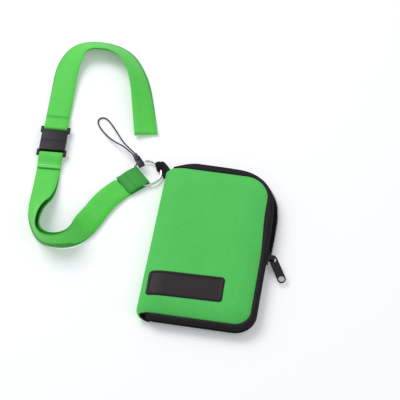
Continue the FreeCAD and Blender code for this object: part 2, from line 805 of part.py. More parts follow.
def cord(label, points, low):
    """A thin round cord along a route."""
    radius = size("cord_width") / 2
    edges = rounded_route(points, 0, label)
    path = Part.Wire(edges)
    start = edges[0].firstVertex(True).Point
    profile = Part.Wire(Part.Circle(start, edges[0].tangentAt(edges[0].FirstParameter), radius).toShape())
    solid = path.makePipeShell([profile], True, False)
    wanted = math.pi * radius ** 2 * path.Length
    print("%s: length %.1f mm, volume %.0f against %.0f mm3" % (label, path.Length, solid.Volume, wanted))
    made = doc.addObject("Part::Feature", label)
    made.Shape = solid
    made.Placement = FreeCAD.Placement(FreeCAD.Vector(0, 0, low + radius), FreeCAD.Rotation())
    return node(made, label)


string_base = out_from(*ring_centre, size("string_place"), size("ring_mid"))
crimp_end = out_from(*string_base, size("string_angle"), size("crimp_start") + size("crimp_length"))
side_step = size("cord_spread") / 2
leave = out_from(*crimp_end, size("string_angle") + 90, side_step)
come_back = out_from(*crimp_end, size("string_angle") - 90, side_step)
cord("string_cord", [leave, *from_ring(STRING_LOOP), come_back], size("string_mid") - size("cord_width") / 2)

# ---- check and write ------------------------------------------------------------------------------

doc.recompute()
for thing in doc.Objects:
    if "Invalid" in thing.State or "Error" in thing.State:
        raise RuntimeError("%s did not build: %s" % (thing.Label, thing.State))
os.makedirs("parts", exist_ok=True)
for made in nodes:
    if made.Shape.isNull() or not made.Shape.isValid():
        raise RuntimeError("%s has no valid shape" % made.Label)
    made.Shape.exportStep("parts/%s.step" % made.Label)
    print("%s: %d solid, %.1f mm3" % (made.Label, len(made.Shape.Solids), made.Shape.Volume))
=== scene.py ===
import math

import bmesh
import bpy
import numpy as np
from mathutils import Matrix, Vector


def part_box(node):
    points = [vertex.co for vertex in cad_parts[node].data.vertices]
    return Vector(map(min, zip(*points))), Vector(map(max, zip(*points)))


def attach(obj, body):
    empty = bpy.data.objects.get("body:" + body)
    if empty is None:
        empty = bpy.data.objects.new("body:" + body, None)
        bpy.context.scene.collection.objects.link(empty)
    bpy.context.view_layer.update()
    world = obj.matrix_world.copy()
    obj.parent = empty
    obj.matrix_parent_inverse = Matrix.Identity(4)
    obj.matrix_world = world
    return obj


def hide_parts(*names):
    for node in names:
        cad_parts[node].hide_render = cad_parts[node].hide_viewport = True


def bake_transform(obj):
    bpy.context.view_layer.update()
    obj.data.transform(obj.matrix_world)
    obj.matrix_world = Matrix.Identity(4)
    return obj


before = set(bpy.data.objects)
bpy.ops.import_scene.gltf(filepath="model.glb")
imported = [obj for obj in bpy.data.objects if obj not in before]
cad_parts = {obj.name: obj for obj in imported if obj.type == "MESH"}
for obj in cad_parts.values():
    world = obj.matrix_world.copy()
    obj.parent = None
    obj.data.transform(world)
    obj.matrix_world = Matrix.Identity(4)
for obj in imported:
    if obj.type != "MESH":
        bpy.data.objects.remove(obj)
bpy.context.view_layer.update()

# Shapes are worked out in millimetres and turned into metres where a piece is made.
MM = 0.001


def cad_box(node):
    """Lowest and highest corner of a CAD node, in millimetres."""
    low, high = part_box(node)
    return np.array(low) / MM, np.array(high) / MM


# ---- sizes taken from the frame -------------------------------------------------------------------

RING_LOW, RING_HIGH = cad_box("split_ring")
RING = (RING_LOW + RING_HIGH) / 2
RING_OUTER = (RING_HIGH[0] - RING_LOW[0]) / 2
SPINE_LOW, SPINE_HIGH = cad_box("spine")
FACE_Z = SPINE_HIGH[2]
SPINE_X = SPINE_LOW[0]
RIM_HIGH = cad_box("front_binding")[1]
RIM_X = RIM_HIGH[0]
RIM_Y = RIM_HIGH[1]
PANEL_HIGH = cad_box("front_panel")[1]
PANEL_X = PANEL_HIGH[0]
PANEL_Y = PANEL_HIGH[1]
SLIDER_LOW, SLIDER_HIGH = cad_box("slider")
SLIDER = (SLIDER_LOW + SLIDER_HIGH) / 2
ZIP_Z = SLIDER[2]
WEBBING_THICK = 1.1
WEBBING_HALF = 10.0


# ---- making meshes --------------------------------------------------------------------------------


def add_object(name, mesh, material):
    made = bpy.data.objects.new(name, mesh)
    bpy.context.scene.collection.objects.link(made)
    mesh.materials.append(material)
    return made


def make_piece(name, points, faces, material, smooth=True, closed=True, sharp=40):
    """A mesh piece from points in millimetres."""
    mesh = bpy.data.meshes.new(name)
    mesh.from_pydata([tuple(p) for p in np.asarray(points, float) * MM], [], faces)
    if closed:
        turn_outwards(mesh)
    if smooth:
        mesh.shade_smooth()
        mesh.set_sharp_from_angle(angle=math.radians(sharp))
    return add_object(name, mesh, material)


def turn_outwards(mesh):
    shell = bmesh.new()
    shell.from_mesh(mesh)
    bmesh.ops.recalc_face_normals(shell, faces=shell.faces)
    shell.to_mesh(mesh)
    shell.free()


def grid_faces(rows, columns, wrap_rows=False, wrap_columns=False):
    faces = []
    for i in range(rows if wrap_rows else rows - 1):
        for j in range(columns if wrap_columns else columns - 1):
            a, b = i * columns, ((i + 1) % rows) * columns
            k = (j + 1) % columns
            faces.append((a + j, a + k, b + k, b + j))
    return faces


def make_bar(name, sections, material, loop=False, **words):
    """A solid bar through closed cross sections, an array of stations by corners by three."""
    sections = np.asarray(sections, float)
    count, corners = sections.shape[:2]
    faces = grid_faces(count, corners, wrap_rows=loop, wrap_columns=True)
    if not loop:
        faces.append(tuple(range(corners)))
        faces.append(tuple(range((count - 1) * corners, count * corners)))
    return make_piece(name, sections.reshape(-1, 3), faces, material, **words)


def smooth_step(value):
    value = np.clip(value, 0, 1)
    return value * value * (3 - 2 * value)


def unit(vectors):
    return vectors / np.linalg.norm(vectors, axis=-1, keepdims=True)


def tangents(points):
    return unit(np.gradient(np.asarray(points, float), axis=0))


def polar(start, reach, degrees):
    """A point at a distance and bearing from another, in the units of both."""
    angle = math.radians(degrees)
    return (start[0] + reach * math.cos(angle), start[1] + reach * math.sin(angle))


def path_reach(points):
    """How far along a path each of its points is."""
    return np.r_[0, np.cumsum(np.linalg.norm(np.diff(points, axis=0), axis=1))]


def put_in_place(made, node, body):
    """Lets a piece stand for a CAD node and ride on a body."""
    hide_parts(node)
    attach(made, body)


def add_uv(made, along_across):
    """A UV map in metres from one (along, across) pair for each vertex, in millimetres."""
    layer = made.data.uv_layers.new(name="cloth")
    loops = np.empty(len(made.data.loops), int)
    made.data.loops.foreach_get("vertex_index", loops)
    layer.data.foreach_set("uv", (np.asarray(along_across)[loops] * MM).ravel())


def as_mesh(made):
    """Turn an object with modifiers into a plain mesh."""
    made_now = made.evaluated_get(bpy.context.evaluated_depsgraph_get())
    mesh = bpy.data.meshes.new_from_object(made_now)
    made.modifiers.clear()
    made.data = mesh
    return made


# ---- materials ------------------------------------------------------------------------------------


class Finish:
    """A material and the shader nodes that make it."""

    def __init__(self, name, colour, roughness, **sockets):
        self.material = bpy.data.materials.new(name)
        self.material.use_nodes = True
        self.nodes = self.material.node_tree.nodes
        self.links = self.material.node_tree.links
        self.shader = self.nodes["Principled BSDF"]
        self.shader.inputs["Base Color"].default_value = (*colour, 1)
        self.shader.inputs["Roughness"].default_value = roughness
        for word, value in sockets.items():
            label = word.replace("_", " ").title().replace("Ior", "IOR")
            self.shader.inputs[label].default_value = value

    def node(self, kind, **settings):
        made = self.nodes.new(kind)
        for word, value in settings.items():
            setattr(made, word, value)
        return made

    def join(self, source, target):
        self.links.new(source, target)

    def sums(self, operation, first, second=None, third=None):
        """A maths node whose inputs are sockets or numbers."""
        made = self.node("ShaderNodeMath", operation=operation)
        for slot, value in enumerate((first, second, third)):
            if isinstance(value, bpy.types.NodeSocket):
                self.join(value, made.inputs[slot])
            elif value is not None:
                made.inputs[slot].default_value = value
        return made.outputs[0]

    def coordinates(self, kind="Object"):
        if kind == "UV":
            found = self.node("ShaderNodeUVMap", uv_map="cloth").outputs["UV"]
        else:
            found = self.node("ShaderNodeTexCoord").outputs["Object"]
        split = self.node("ShaderNodeSeparateXYZ")
        self.join(found, split.inputs[0])
        return found, split.outputs

    def noise(self, scale, detail=3.0, roughness=0.6, vector=None):
        made = self.node("ShaderNodeTexNoise")
        made.inputs["Scale"].default_value = scale
        made.inputs["Detail"].default_value = detail
        made.inputs["Roughness"].default_value = roughness
        if vector is not None:
            self.join(vector, made.inputs["Vector"])
        return made.outputs["Fac"]

    def waves(self, coordinate, pitch, shift=0.0):
        """0 to 1 waves, one for each pitch of a coordinate in metres."""
        turned = self.sums("MULTIPLY_ADD", coordinate, 2 * math.pi / pitch, shift)
        return self.sums("MULTIPLY_ADD", self.sums("SINE", turned), 0.5, 0.5)

    def bump(self, height, strength, distance):
        made = self.node("ShaderNodeBump")
        made.inputs["Strength"].default_value = strength
        made.inputs["Distance"].default_value = distance
        self.join(height, made.inputs["Height"])
        self.join(made.outputs["Normal"], self.shader.inputs["Normal"])

    def tint(self, amount, dark, light):
        """Colour that runs from dark to light with an amount."""
        ramp = self.node("ShaderNodeValToRGB")
        ramp.color_ramp.elements[0].color = (*dark, 1)
        ramp.color_ramp.elements[1].color = (*light, 1)
        self.join(amount, ramp.inputs["Fac"])
        self.join(ramp.outputs["Color"], self.shader.inputs["Base Color"])

    def rough(self, amount, low, high):
        span = self.node("ShaderNodeMapRange")
        span.inputs["To Min"].default_value = low
        span.inputs["To Max"].default_value = high
        self.join(amount, span.inputs["Value"])
        self.join(span.outputs["Result"], self.shader.inputs["Roughness"])


def knit_waves(made, axes):
    """Columns of stitches across a knitted cloth, and the stitches' legs along them."""
    columns = made.waves(axes["X"], 0.0009)
    legs = made.waves(made.sums("ADD", axes["Y"], axes["Z"]), 0.0007)
    return columns, legs


def green_jersey():
    """Knitted jersey over foam: columns of small stitches, soft and matt, with a faint mottle."""
    made = Finish("green_jersey", (0.09, 0.55, 0.11), 0.9, sheen_weight=0.06, specular_ior_level=0.2)
    place, axes = made.coordinates()
    columns, legs = knit_waves(made, axes)
    knit = made.sums("MULTIPLY", columns, made.sums("MULTIPLY_ADD", legs, 0.5, 0.5))
    cloud = made.noise(45.0, 4.0, 0.6, place)
    fuzz = made.noise(1800.0, 2.0, 0.7, place)
    grain = made.noise(620.0, 3.0, 0.75, place)
    mix = made.sums("ADD", made.sums("MULTIPLY", knit, 0.3), made.sums("MULTIPLY", cloud, 0.3))
    mix = made.sums("MULTIPLY_ADD", grain, 0.4, mix)
    made.tint(mix, (0.060, 0.49, 0.078), (0.150, 0.78, 0.170))
    height = made.sums("ADD", knit, made.sums("MULTIPLY", fuzz, 0.6))
    made.bump(height, 0.35, 0.00025)
    made.rough(cloud, 0.78, 0.92)
    return made.material


def black_jersey():
    made = Finish("black_lining", (0.02, 0.017, 0.02), 0.95, specular_ior_level=0.15)
    place, axes = made.coordinates()
    columns, legs = knit_waves(made, axes)
    made.tint(made.noise(60.0, 3.0, 0.6, place), (0.014, 0.012, 0.014), (0.03, 0.026, 0.03))
    made.bump(made.sums("MULTIPLY", columns, legs), 0.4, 0.0002)
    return made.material


def black_tape(name, pitch=0.0008):
    """Woven edge tape: fine ribs along the tape with a slight purple cast."""
    made = Finish(name, (0.022, 0.015, 0.022), 0.8, specular_ior_level=0.25)
    _, axes = made.coordinates("UV")
    ribs = made.waves(axes["Y"], pitch)
    picks = made.waves(axes["X"], pitch * 0.8)
    crossings = made.sums("MULTIPLY", ribs, picks)
    weave = made.sums("MULTIPLY_ADD", crossings, 0.6, made.sums("MULTIPLY", ribs, 0.4))
    place, _ = made.coordinates()
    cloud = made.noise(120.0, 3.0, 0.6, place)
    mix = made.sums("MULTIPLY", made.sums("ADD", weave, cloud), 0.5)
    made.tint(mix, (0.006, 0.004, 0.006), (0.020, 0.012, 0.017))
    made.bump(weave, 0.5, 0.00018)
    made.rough(cloud, 0.6, 0.82)
    return made.material


def green_webbing(name, dark, light):
    """Flat woven webbing: two-up weave of glossy yarn, ribs along the strap."""
    made = Finish(name, (0.075, 0.56, 0.08), 0.6, sheen_weight=0.05, specular_ior_level=0.35)
    _, axes = made.coordinates("UV")
    slope = made.sums("ADD", axes["X"], axes["Y"])
    cross = made.sums("SUBTRACT", axes["X"], axes["Y"])
    left = made.waves(slope, 0.0016)
    right = made.waves(cross, 0.0016)
    side = made.waves(axes["Y"], 0.0050)
    chosen = made.sums("GREATER_THAN", side, 0.5)
    other = made.sums("SUBTRACT", 1.0, chosen)
    twill = made.sums("ADD", made.sums("MULTIPLY", left, chosen), made.sums("MULTIPLY", right, other))
    yarns = made.waves(axes["Y"], 0.00125)
    place, _ = made.coordinates()
    cloud = made.noise(70.0, 4.0, 0.6, place)
    weave = made.sums("ADD", made.sums("MULTIPLY", twill, 0.4), made.sums("MULTIPLY", yarns, 0.6))
    mix = made.sums("ADD", made.sums("MULTIPLY", weave, 0.6), made.sums("MULTIPLY", cloud, 0.4))
    made.tint(mix, dark, light)
    made.bump(weave, 0.55, 0.0003)
    made.rough(cloud, 0.42, 0.62)
    return made.material


def thread(name, colour):
    made = Finish(name, colour, 0.5, sheen_weight=0.2)
    place, _ = made.coordinates()
    grain = made.noise(2500.0, 2.0, 0.6, place)
    made.bump(grain, 0.3, 0.0001)
    made.tint(grain, tuple(0.8 * part for part in colour), tuple(min(1, 1.25 * part) for part in colour))
    return made.material


def moulded_plastic(name, dark, light, roughness):
    """Injection moulded plastic with a fine spark-eroded grain."""
    made = Finish(name, light, roughness, specular_ior_level=0.3)
    place, _ = made.coordinates()
    grain = made.noise(1600.0, 2.0, 0.5, place)
    cloud = made.noise(90.0, 3.0, 0.6, place)
    made.tint(cloud, dark, light)
    made.bump(grain, 0.18, 0.00012)
    made.rough(cloud, roughness - 0.07, roughness + 0.08)
    return made.material


def black_rubber():
    made = Finish("black_rubber", (0.028, 0.026, 0.03), 0.6, specular_ior_level=0.25)
    place, _ = made.coordinates()
    grain = made.noise(2200.0, 2.0, 0.6, place)
    cloud = made.noise(55.0, 4.0, 0.6, place)
    made.tint(cloud, (0.014, 0.010, 0.013), (0.026, 0.020, 0.024))
    made.bump(grain, 0.25, 0.00012)
    made.rough(cloud, 0.45, 0.62)
    return made.material


def black_enamel():
    """Satin black paint over cast metal, with a faint cloudy tone and grain."""
    made = Finish("black_enamel", (0.02, 0.017, 0.02), 0.35, specular_ior_level=0.35)
    place, _ = made.coordinates()
    cloud = made.noise(200.0, 4.0, 0.6, place)
    made.tint(cloud, (0.008, 0.006, 0.008), (0.020, 0.016, 0.020))
    made.rough(cloud, 0.28, 0.45)
    made.bump(made.noise(1500.0, 2.0, 0.5, place), 0.06, 0.0001)
    return made.material


def polished_steel():
    made = Finish("polished_steel", (0.80, 0.79, 0.77), 0.14, metallic=1.0)
    place, _ = made.coordinates()
    scuffs = made.noise(900.0, 5.0, 0.7, place)
    made.rough(scuffs, 0.08, 0.26)
    made.tint(made.noise(120.0, 3.0, 0.6, place), (0.70, 0.69, 0.67), (0.88, 0.88, 0.87))
    made.bump(scuffs, 0.04, 0.00005)
    return made.material


def braided_cord():
    made = Finish("braided_cord", (0.02, 0.018, 0.022), 0.6, sheen_weight=0.25)
    _, axes = made.coordinates("UV")
    first = made.waves(made.sums("ADD", axes["X"], axes["Y"]), 0.0009)
    second = made.waves(made.sums("SUBTRACT", axes["X"], axes["Y"]), 0.0009)
    braid = made.sums("MAXIMUM", first, second)
    made.tint(braid, (0.008, 0.007, 0.009), (0.04, 0.036, 0.044))
    made.bump(braid, 0.6, 0.00015)
    return made.material


def pale_table():
    made = Finish("pale_table", (0.97, 0.975, 0.99), 0.8, specular_ior_level=0.2, emission_strength=0.16)
    made.shader.inputs["Emission Color"].default_value = (0.97, 0.98, 1.0, 1)
    place, _ = made.coordinates()
    made.rough(made.noise(30.0, 2.0, 0.5, place), 0.55, 0.65)
    return made.material


GREEN_JERSEY = green_jersey()
BLACK_JERSEY = black_jersey()
BINDING_TAPE = black_tape("binding_tape")
ZIP_TAPE = black_tape("zip_tape", 0.0006)
TAB_TAPE = black_tape("tab_tape", 0.0010)
GREEN_WEBBING = green_webbing("green_webbing", (0.040, 0.52, 0.040), (0.165, 0.90, 0.125))
# Under layer webbing, darker than the upper layer: painted shade, so the under layer is coloured as if it lay
# in the upper layer's shadow.
SHADED_UNDER_WEBBING = green_webbing("under_webbing_painted_shade", (0.014, 0.26, 0.026), (0.075, 0.56, 0.070))
# Webbing for the sewn end at the ring, darker than the strap: painted shade on the end block.
SHADED_END_WEBBING = green_webbing("end_webbing_painted_shade", (0.012, 0.24, 0.022), (0.060, 0.52, 0.065))
GREEN_THREAD = thread("green_thread", (0.62, 0.92, 0.62))
# Dark green thread: real stitches coloured dark as painted shade, used on the far buckle wrap and the sewn
# end.
SHADED_THREAD = thread("thread_painted_shade", (0.02, 0.26, 0.05))
BLACK_THREAD = thread("black_thread", (0.03, 0.024, 0.03))
BUCKLE_PLASTIC = moulded_plastic("buckle_plastic", (0.010, 0.008, 0.011), (0.020, 0.016, 0.022), 0.48)
STRING_PLASTIC = moulded_plastic("string_plastic", (0.014, 0.012, 0.016), (0.035, 0.031, 0.038), 0.36)
CRIMP_PLASTIC = moulded_plastic("crimp_plastic", (0.05, 0.045, 0.055), (0.10, 0.09, 0.105), 0.34)
COIL_NYLON = moulded_plastic("coil_nylon", (0.012, 0.010, 0.012), (0.030, 0.026, 0.030), 0.38)
BLACK_RUBBER = black_rubber()
BLACK_ENAMEL = black_enamel()
POLISHED_STEEL = polished_steel()
BRAIDED_CORD = braided_cord()


# ---- rows of small repeated shapes ----------------------------------------------------------------


def bead_row_tree():
    """Geometry Nodes: round beads at even steps along a path, each turned to the path and its side."""
    tree = bpy.data.node_groups.new("bead_row", "GeometryNodeTree")
    face = tree.interface
    face.new_socket("Geometry", in_out="INPUT", socket_type="NodeSocketGeometry")
    for word, kind in (
        ("Step", "NodeSocketFloat"), ("Size", "NodeSocketVector"), ("Finish", "NodeSocketMaterial"),
    ):
        face.new_socket(word, in_out="INPUT", socket_type=kind)
    face.new_socket("Geometry", in_out="OUTPUT", socket_type="NodeSocketGeometry")
    nodes, links = tree.nodes, tree.links
    given = nodes.new("NodeGroupInput")
    result = nodes.new("NodeGroupOutput")
    to_curve = nodes.new("GeometryNodeMeshToCurve")
    spots = nodes.new("GeometryNodeCurveToPoints")
    spots.mode = "LENGTH"
    ball = nodes.new("GeometryNodeMeshUVSphere")
    ball.inputs["Segments"].default_value = 8
    ball.inputs["Rings"].default_value = 5
    ball.inputs["Radius"].default_value = 0.5
    side = nodes.new("GeometryNodeInputNamedAttribute")
    side.data_type = "FLOAT_VECTOR"
    side.inputs["Name"].default_value = "side"
    along = nodes.new("FunctionNodeAlignRotationToVector")
    along.axis = "X"
    lean = nodes.new("FunctionNodeAlignRotationToVector")
    lean.axis = "Z"
    lean.pivot_axis = "X"
    put = nodes.new("GeometryNodeInstanceOnPoints")
    real = nodes.new("GeometryNodeRealizeInstances")
    smooth = nodes.new("GeometryNodeSetShadeSmooth")
    paint = nodes.new("GeometryNodeSetMaterial")
    links.new(given.outputs["Geometry"], to_curve.inputs["Mesh"])
    links.new(to_curve.outputs["Curve"], spots.inputs["Curve"])
    links.new(given.outputs["Step"], spots.inputs["Length"])
    links.new(spots.outputs["Tangent"], along.inputs["Vector"])
    links.new(along.outputs["Rotation"], lean.inputs["Rotation"])
    links.new(side.outputs["Attribute"], lean.inputs["Vector"])
    links.new(spots.outputs["Points"], put.inputs["Points"])
    links.new(ball.outputs["Mesh"], put.inputs["Instance"])
    links.new(lean.outputs["Rotation"], put.inputs["Rotation"])
    links.new(given.outputs["Size"], put.inputs["Scale"])
    links.new(put.outputs["Instances"], real.inputs["Geometry"])
    links.new(real.outputs["Geometry"], smooth.inputs["Geometry"])
    links.new(smooth.outputs["Geometry"], paint.inputs["Geometry"])
    links.new(given.outputs["Finish"], paint.inputs["Material"])
    links.new(paint.outputs["Geometry"], result.inputs["Geometry"])
    return tree


BEAD_ROW = bead_row_tree()


def bead_rows(name, paths, step, bead, material):
    """Beads of a size (along, across, high) along one or more (points, sides) paths, in millimetres."""
    points, sides, edges = [], [], []
    for path, side in paths:
        first = len(points)
        points.extend(np.asarray(path, float) * MM)
        sides.extend(np.broadcast_to(np.asarray(side, float), (len(path), 3)))
        edges.extend((i, i + 1) for i in range(first, len(points) - 1))
    mesh = bpy.data.meshes.new(name)
    mesh.from_pydata([tuple(p) for p in points], edges, [])
    held = mesh.attributes.new("side", "FLOAT_VECTOR", "POINT")
    held.data.foreach_set("vector", np.asarray(sides, float).ravel())
    made = bpy.data.objects.new(name, mesh)
    bpy.context.scene.collection.objects.link(made)
    modifier = made.modifiers.new("beads", "NODES")
    modifier.node_group = BEAD_ROW
    sockets = {item.name: item.identifier for item in BEAD_ROW.interface.items_tree if item.in_out == "INPUT"}
    modifier[sockets["Step"]] = step * MM
    modifier[sockets["Size"]] = [part * MM for part in bead]
    modifier[sockets["Finish"]] = material
    return as_mesh(made)


# ---- the pouch's form -----------------------------------------------------------------------------
# The panels are domed: full depth in the middle, thin at the zipped edges, round at the spine.

CORNER_TOP = 21.0
CORNER_BOTTOM = 13.0
EDGE_X = PANEL_X + 0.7
EDGE_TOP = PANEL_Y - 1.3
EDGE_BOTTOM = -PANEL_Y - 0.2
BINDING_HIGH = 2.3
SPINE_ROLL = 18.0
SPINE_MIDDLE = 8.0
DOME_REACH = 21.0
COVER_THICK = 2.6
SPINE_RADIUS = 8.5


def open_share(y):
    """0 where the zip is shut at the bottom to 1 where it is open at the top."""
    return smooth_step((np.asarray(y, float) + 22) / 44)


def zip_middle(y):
    return ZIP_Z - 0.8 * smooth_step((-61 - np.asarray(y, float)) / 17)


def front_edge_z(y):
    """Top of the front binding."""
    return zip_middle(y) + 0.9 + 2.5 * open_share(y) + BINDING_HIGH


def back_edge_z(y):
    """Underside of the back binding."""
    return zip_middle(y) - 0.9 - 2.9 * open_share(y) - BINDING_HIGH


def lean_in(x, y):
    """The zipped long side stands a little further in towards its open end."""
    drawn = 0.4 - 2.6 * smooth_step((y + 10) / 50)
    return x + drawn * smooth_step(x / EDGE_X)


def edge_distance(x, y):
    """Distance to the zipped edges, round at the two corners."""
    radius = np.where(y > 0, CORNER_TOP, CORNER_BOTTOM)
    reach = np.where(y > 0, EDGE_TOP, -EDGE_BOTTOM)
    qx = x - (EDGE_X - radius)
    qy = np.abs(y) - (reach - radius)
    outside = np.hypot(np.maximum(qx, 0), np.maximum(qy, 0))
    blend = (qx + qy + np.sqrt((qx - qy) ** 2 + 64.0)) / 2
    return radius - outside - np.minimum(blend, 0)


def dome(x, y):
    """0 at the zipped edges to 1 over the middle of a panel."""
    share = np.clip(edge_distance(x, y) / DOME_REACH, 0, 1)
    return 1 - (1 - share) ** 2.3


def front_z(x, y):
    edge = front_edge_z(y)
    return edge + (FACE_Z - edge) * dome(x, y)


def back_z(x, y):
    return back_edge_z(y) * (1 - dome(x, y))


def roll_front(x, y, z):
    """Brings the front face down towards the spine's middle height."""
    share = np.clip((SPINE_X + SPINE_ROLL - x) / (SPINE_ROLL + 0.5), 0, 1)
    return SPINE_MIDDLE + (z - SPINE_MIDDLE) * np.sqrt(1 - share ** 2)


def front_surface(x, y):
    """A point of the front face, in millimetres."""
    z = roll_front(x, y, front_z(x, y))
    return np.stack([lean_in(x, y), y, z], axis=-1)


def top_reach(x):
    over = np.maximum(x - (EDGE_X - CORNER_TOP), 0)
    return EDGE_TOP - CORNER_TOP + np.sqrt(np.maximum(CORNER_TOP ** 2 - over ** 2, 0))


def bottom_reach(x):
    over = np.maximum(x - (EDGE_X - CORNER_BOTTOM), 0)
    return EDGE_BOTTOM + CORNER_BOTTOM - np.sqrt(np.maximum(CORNER_BOTTOM ** 2 - over ** 2, 0))


def cover_columns():
    """X places across a panel, close together at the round corners."""
    flat = np.linspace(SPINE_X + SPINE_ROLL, EDGE_X - CORNER_TOP, 14)
    turn = np.sin(np.linspace(0, math.pi / 2, 30)[1:])
    return np.r_[flat, EDGE_X - CORNER_TOP + CORNER_TOP * turn]


ROWS = 90


def row_shares():
    """Shares from bottom to top, close together at both ends."""
    t = np.linspace(0, 1, ROWS)
    return t - 0.08 * np.sin(2 * math.pi * t)


def spine_ends(y, x):
    """How far the spine's side draws in at its two ends, in millimetres."""
    top = np.clip((y - (EDGE_TOP - 5.5)) / 5.5, 0, 1)
    bottom = np.clip((EDGE_BOTTOM + 4.0 - y) / 6.6, 0, 1)
    near = np.clip((SPINE_X + SPINE_ROLL - x) / SPINE_ROLL, 0, 1)
    draw = 3.6 * (1 - np.sqrt(1 - top ** 2)) + 3.5 * (1 - np.sqrt(1 - bottom ** 2))
    return draw * near ** 2


def front_grid():
    """Points of the cover, from under the spine, up round it and over to the zipped edge."""
    shares = row_shares()
    lines = []
    for angle in np.radians(np.linspace(172, 92, 12)):
        x = SPINE_X + SPINE_RADIUS - (SPINE_RADIUS + 0.5) * math.sin(angle)
        z = SPINE_MIDDLE + SPINE_MIDDLE * math.cos(angle)
        y = EDGE_BOTTOM - 2.6 + (EDGE_TOP - 1.0 - EDGE_BOTTOM + 2.6) * shares
        lines.append(np.stack([x + spine_ends(y, SPINE_X), y, np.full(ROWS, z)], axis=1))
    for angle in np.radians(np.linspace(90, 4, 18)):
        x = SPINE_X + SPINE_ROLL - (SPINE_ROLL + 0.5) * math.sin(angle)
        low = EDGE_BOTTOM - 2.6 * math.sin(angle) ** 6
        high = EDGE_TOP - 1.0 * math.sin(angle) ** 6
        y = low + (high - low) * shares
        line = front_surface(np.full(ROWS, x), y)
        line[:, 0] += spine_ends(y, x)
        lines.append(line)
    for x in cover_columns():
        y = bottom_reach(x) + (top_reach(x) - bottom_reach(x)) * shares
        lines.append(front_surface(np.full(ROWS, x), y))
    return np.array(lines)


def solid_sheet(name, grid, thick, outer, inner):
    """A sheet of some thickness whose outside is a grid of points; the rest is lining."""
    rows, columns = grid.shape[:2]
    made = make_piece(name, grid.reshape(-1, 3), grid_faces(rows, columns), outer, closed=False)
    made.data.materials.append(inner)
    wall = made.modifiers.new("wall", "SOLIDIFY")
    wall.thickness = thick * MM
    wall.offset = -1
    wall.material_offset = 1
    wall.material_offset_rim = 1
    return as_mesh(made)


def make_covers():
    grid = front_grid()
    cover = solid_sheet("front_cover", grid[::-1], COVER_THICK, GREEN_JERSEY, BLACK_JERSEY)
    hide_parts("front_panel", "spine")
    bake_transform(cover)

    shares = row_shares()
    columns = np.r_[np.linspace(SPINE_X + 6.0, SPINE_X + SPINE_ROLL, 8)[:-1], cover_columns()]
    lines = []
    for x in columns:
        y = bottom_reach(x) + (top_reach(x) - bottom_reach(x)) * shares
        places = np.full(ROWS, x)
        lines.append(np.stack([lean_in(places, y), y, back_z(places, y) + 0.02], axis=1))
    back = solid_sheet("back_cover", np.array(lines), COVER_THICK, GREEN_JERSEY, BLACK_JERSEY)
    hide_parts("back_panel")
    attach(back, "back_shell")


# ---- rims: bindings, tapes and coils --------------------------------------------------------------


def stretch(first, second, count):
    return np.linspace(first, second, count, endpoint=False)


def bend(centre, radius, start, finish, count):
    """A round corner between two bearings in degrees."""
    angles = np.radians(np.linspace(start, finish, count, endpoint=False))
    return np.stack([centre[0] + radius * np.cos(angles), centre[1] + radius * np.sin(angles)], axis=1)


def rim_line(edge_x, edge_top, edge_bottom, corner_top, corner_bottom, left_top, left_bottom):
    """A line round the three zipped sides, from the top of the spine to its bottom."""
    pieces = [
        stretch((left_top, edge_top), (edge_x - corner_top, edge_top), 44),
        bend((edge_x - corner_top, edge_top - corner_top), corner_top, 90, 0, 24),
        stretch((edge_x, edge_top - corner_top), (edge_x, edge_bottom + corner_bottom), 56),
        bend((edge_x - corner_bottom, edge_bottom + corner_bottom), corner_bottom, 0, -90, 18),
        np.linspace((edge_x - corner_bottom, edge_bottom), (left_bottom, edge_bottom), 44),
    ]
    return np.concatenate(pieces)


INNER_LINE = rim_line(EDGE_X, EDGE_TOP, EDGE_BOTTOM, CORNER_TOP, CORNER_BOTTOM, SPINE_X + 5.0, SPINE_X + 7.0)
FRONT_LINE = rim_line(RIM_X, RIM_Y - 0.2, 1.0 - RIM_Y, 34.0, 17.5, SPINE_X + 5.0, SPINE_X + 6.5)
BACK_LINE = rim_line(RIM_X, RIM_Y - 0.2, 1.0 - RIM_Y, 31.0, 17.5, SPINE_X + 5.0, SPINE_X + 6.5)
STATIONS = len(INNER_LINE)


# How far along the rim each station is, in millimetres.
REACH = path_reach(FRONT_LINE)


def drawn_rim(line, narrow):
    """Draws a rim line in at the round top corner, and down to the panel where it leaves the spine."""
    corner = np.exp(-((REACH - 90.0) / 26.0) ** 2)[:, None]
    line = line + (INNER_LINE - line) * narrow * corner
    line[:, 1] -= 4.2 * (1 - smooth_step(REACH / 20.0))
    line[:, 1] += 1.6 * (1 - smooth_step((REACH[-1] - REACH) / 8.0))
    return line


FRONT_LINE = drawn_rim(FRONT_LINE, 0.50)
BACK_LINE = drawn_rim(BACK_LINE, 0.46)


def end_taper(top, bottom):
    """The binding's width share: it narrows to nothing where it runs into the spine."""
    rise = np.clip(REACH / top, 0, 1)
    fall = np.clip((REACH[-1] - REACH) / bottom, 0, 1)
    return 0.12 + 0.88 * np.sqrt(1 - (1 - rise) ** 2) * np.sqrt(1 - (1 - fall) ** 2)


def rim_frame(outer_line, width_share):
    """Inner points, outward steps of the full width, and Y places for one rim."""
    inner = np.stack([lean_in(INNER_LINE[:, 0], INNER_LINE[:, 1]), INNER_LINE[:, 1]], axis=1)
    return inner, (outer_line - inner) * width_share[:, None]


# Across the binding: (share of its width, height under its top face), once round.
BINDING_SHAPE = [
    (-0.14, -0.9), (-0.02, 0.10), (0.10, 0.50), (0.28, 0.72), (0.50, 0.66),
    (0.70, 0.34), (0.86, -0.18), (0.97, -0.95), (1.00, -1.55), (0.95, -2.10),
    (0.80, -2.42), (0.50, -2.40), (0.20, -2.35), (-0.05, -2.30), (-0.16, -1.70),
]


def binding_sections(inner, step, top_z, upside=1):
    """Cross sections of a binding round a rim; upside is -1 for the back one."""
    shape = np.array(BINDING_SHAPE)
    across = inner[:, None, :] + step[:, None, :] * shape[None, :, :1]
    height = top_z[:, None] + upside * shape[None, :, 1]
    return np.concatenate([across, height[:, :, None]], axis=2)


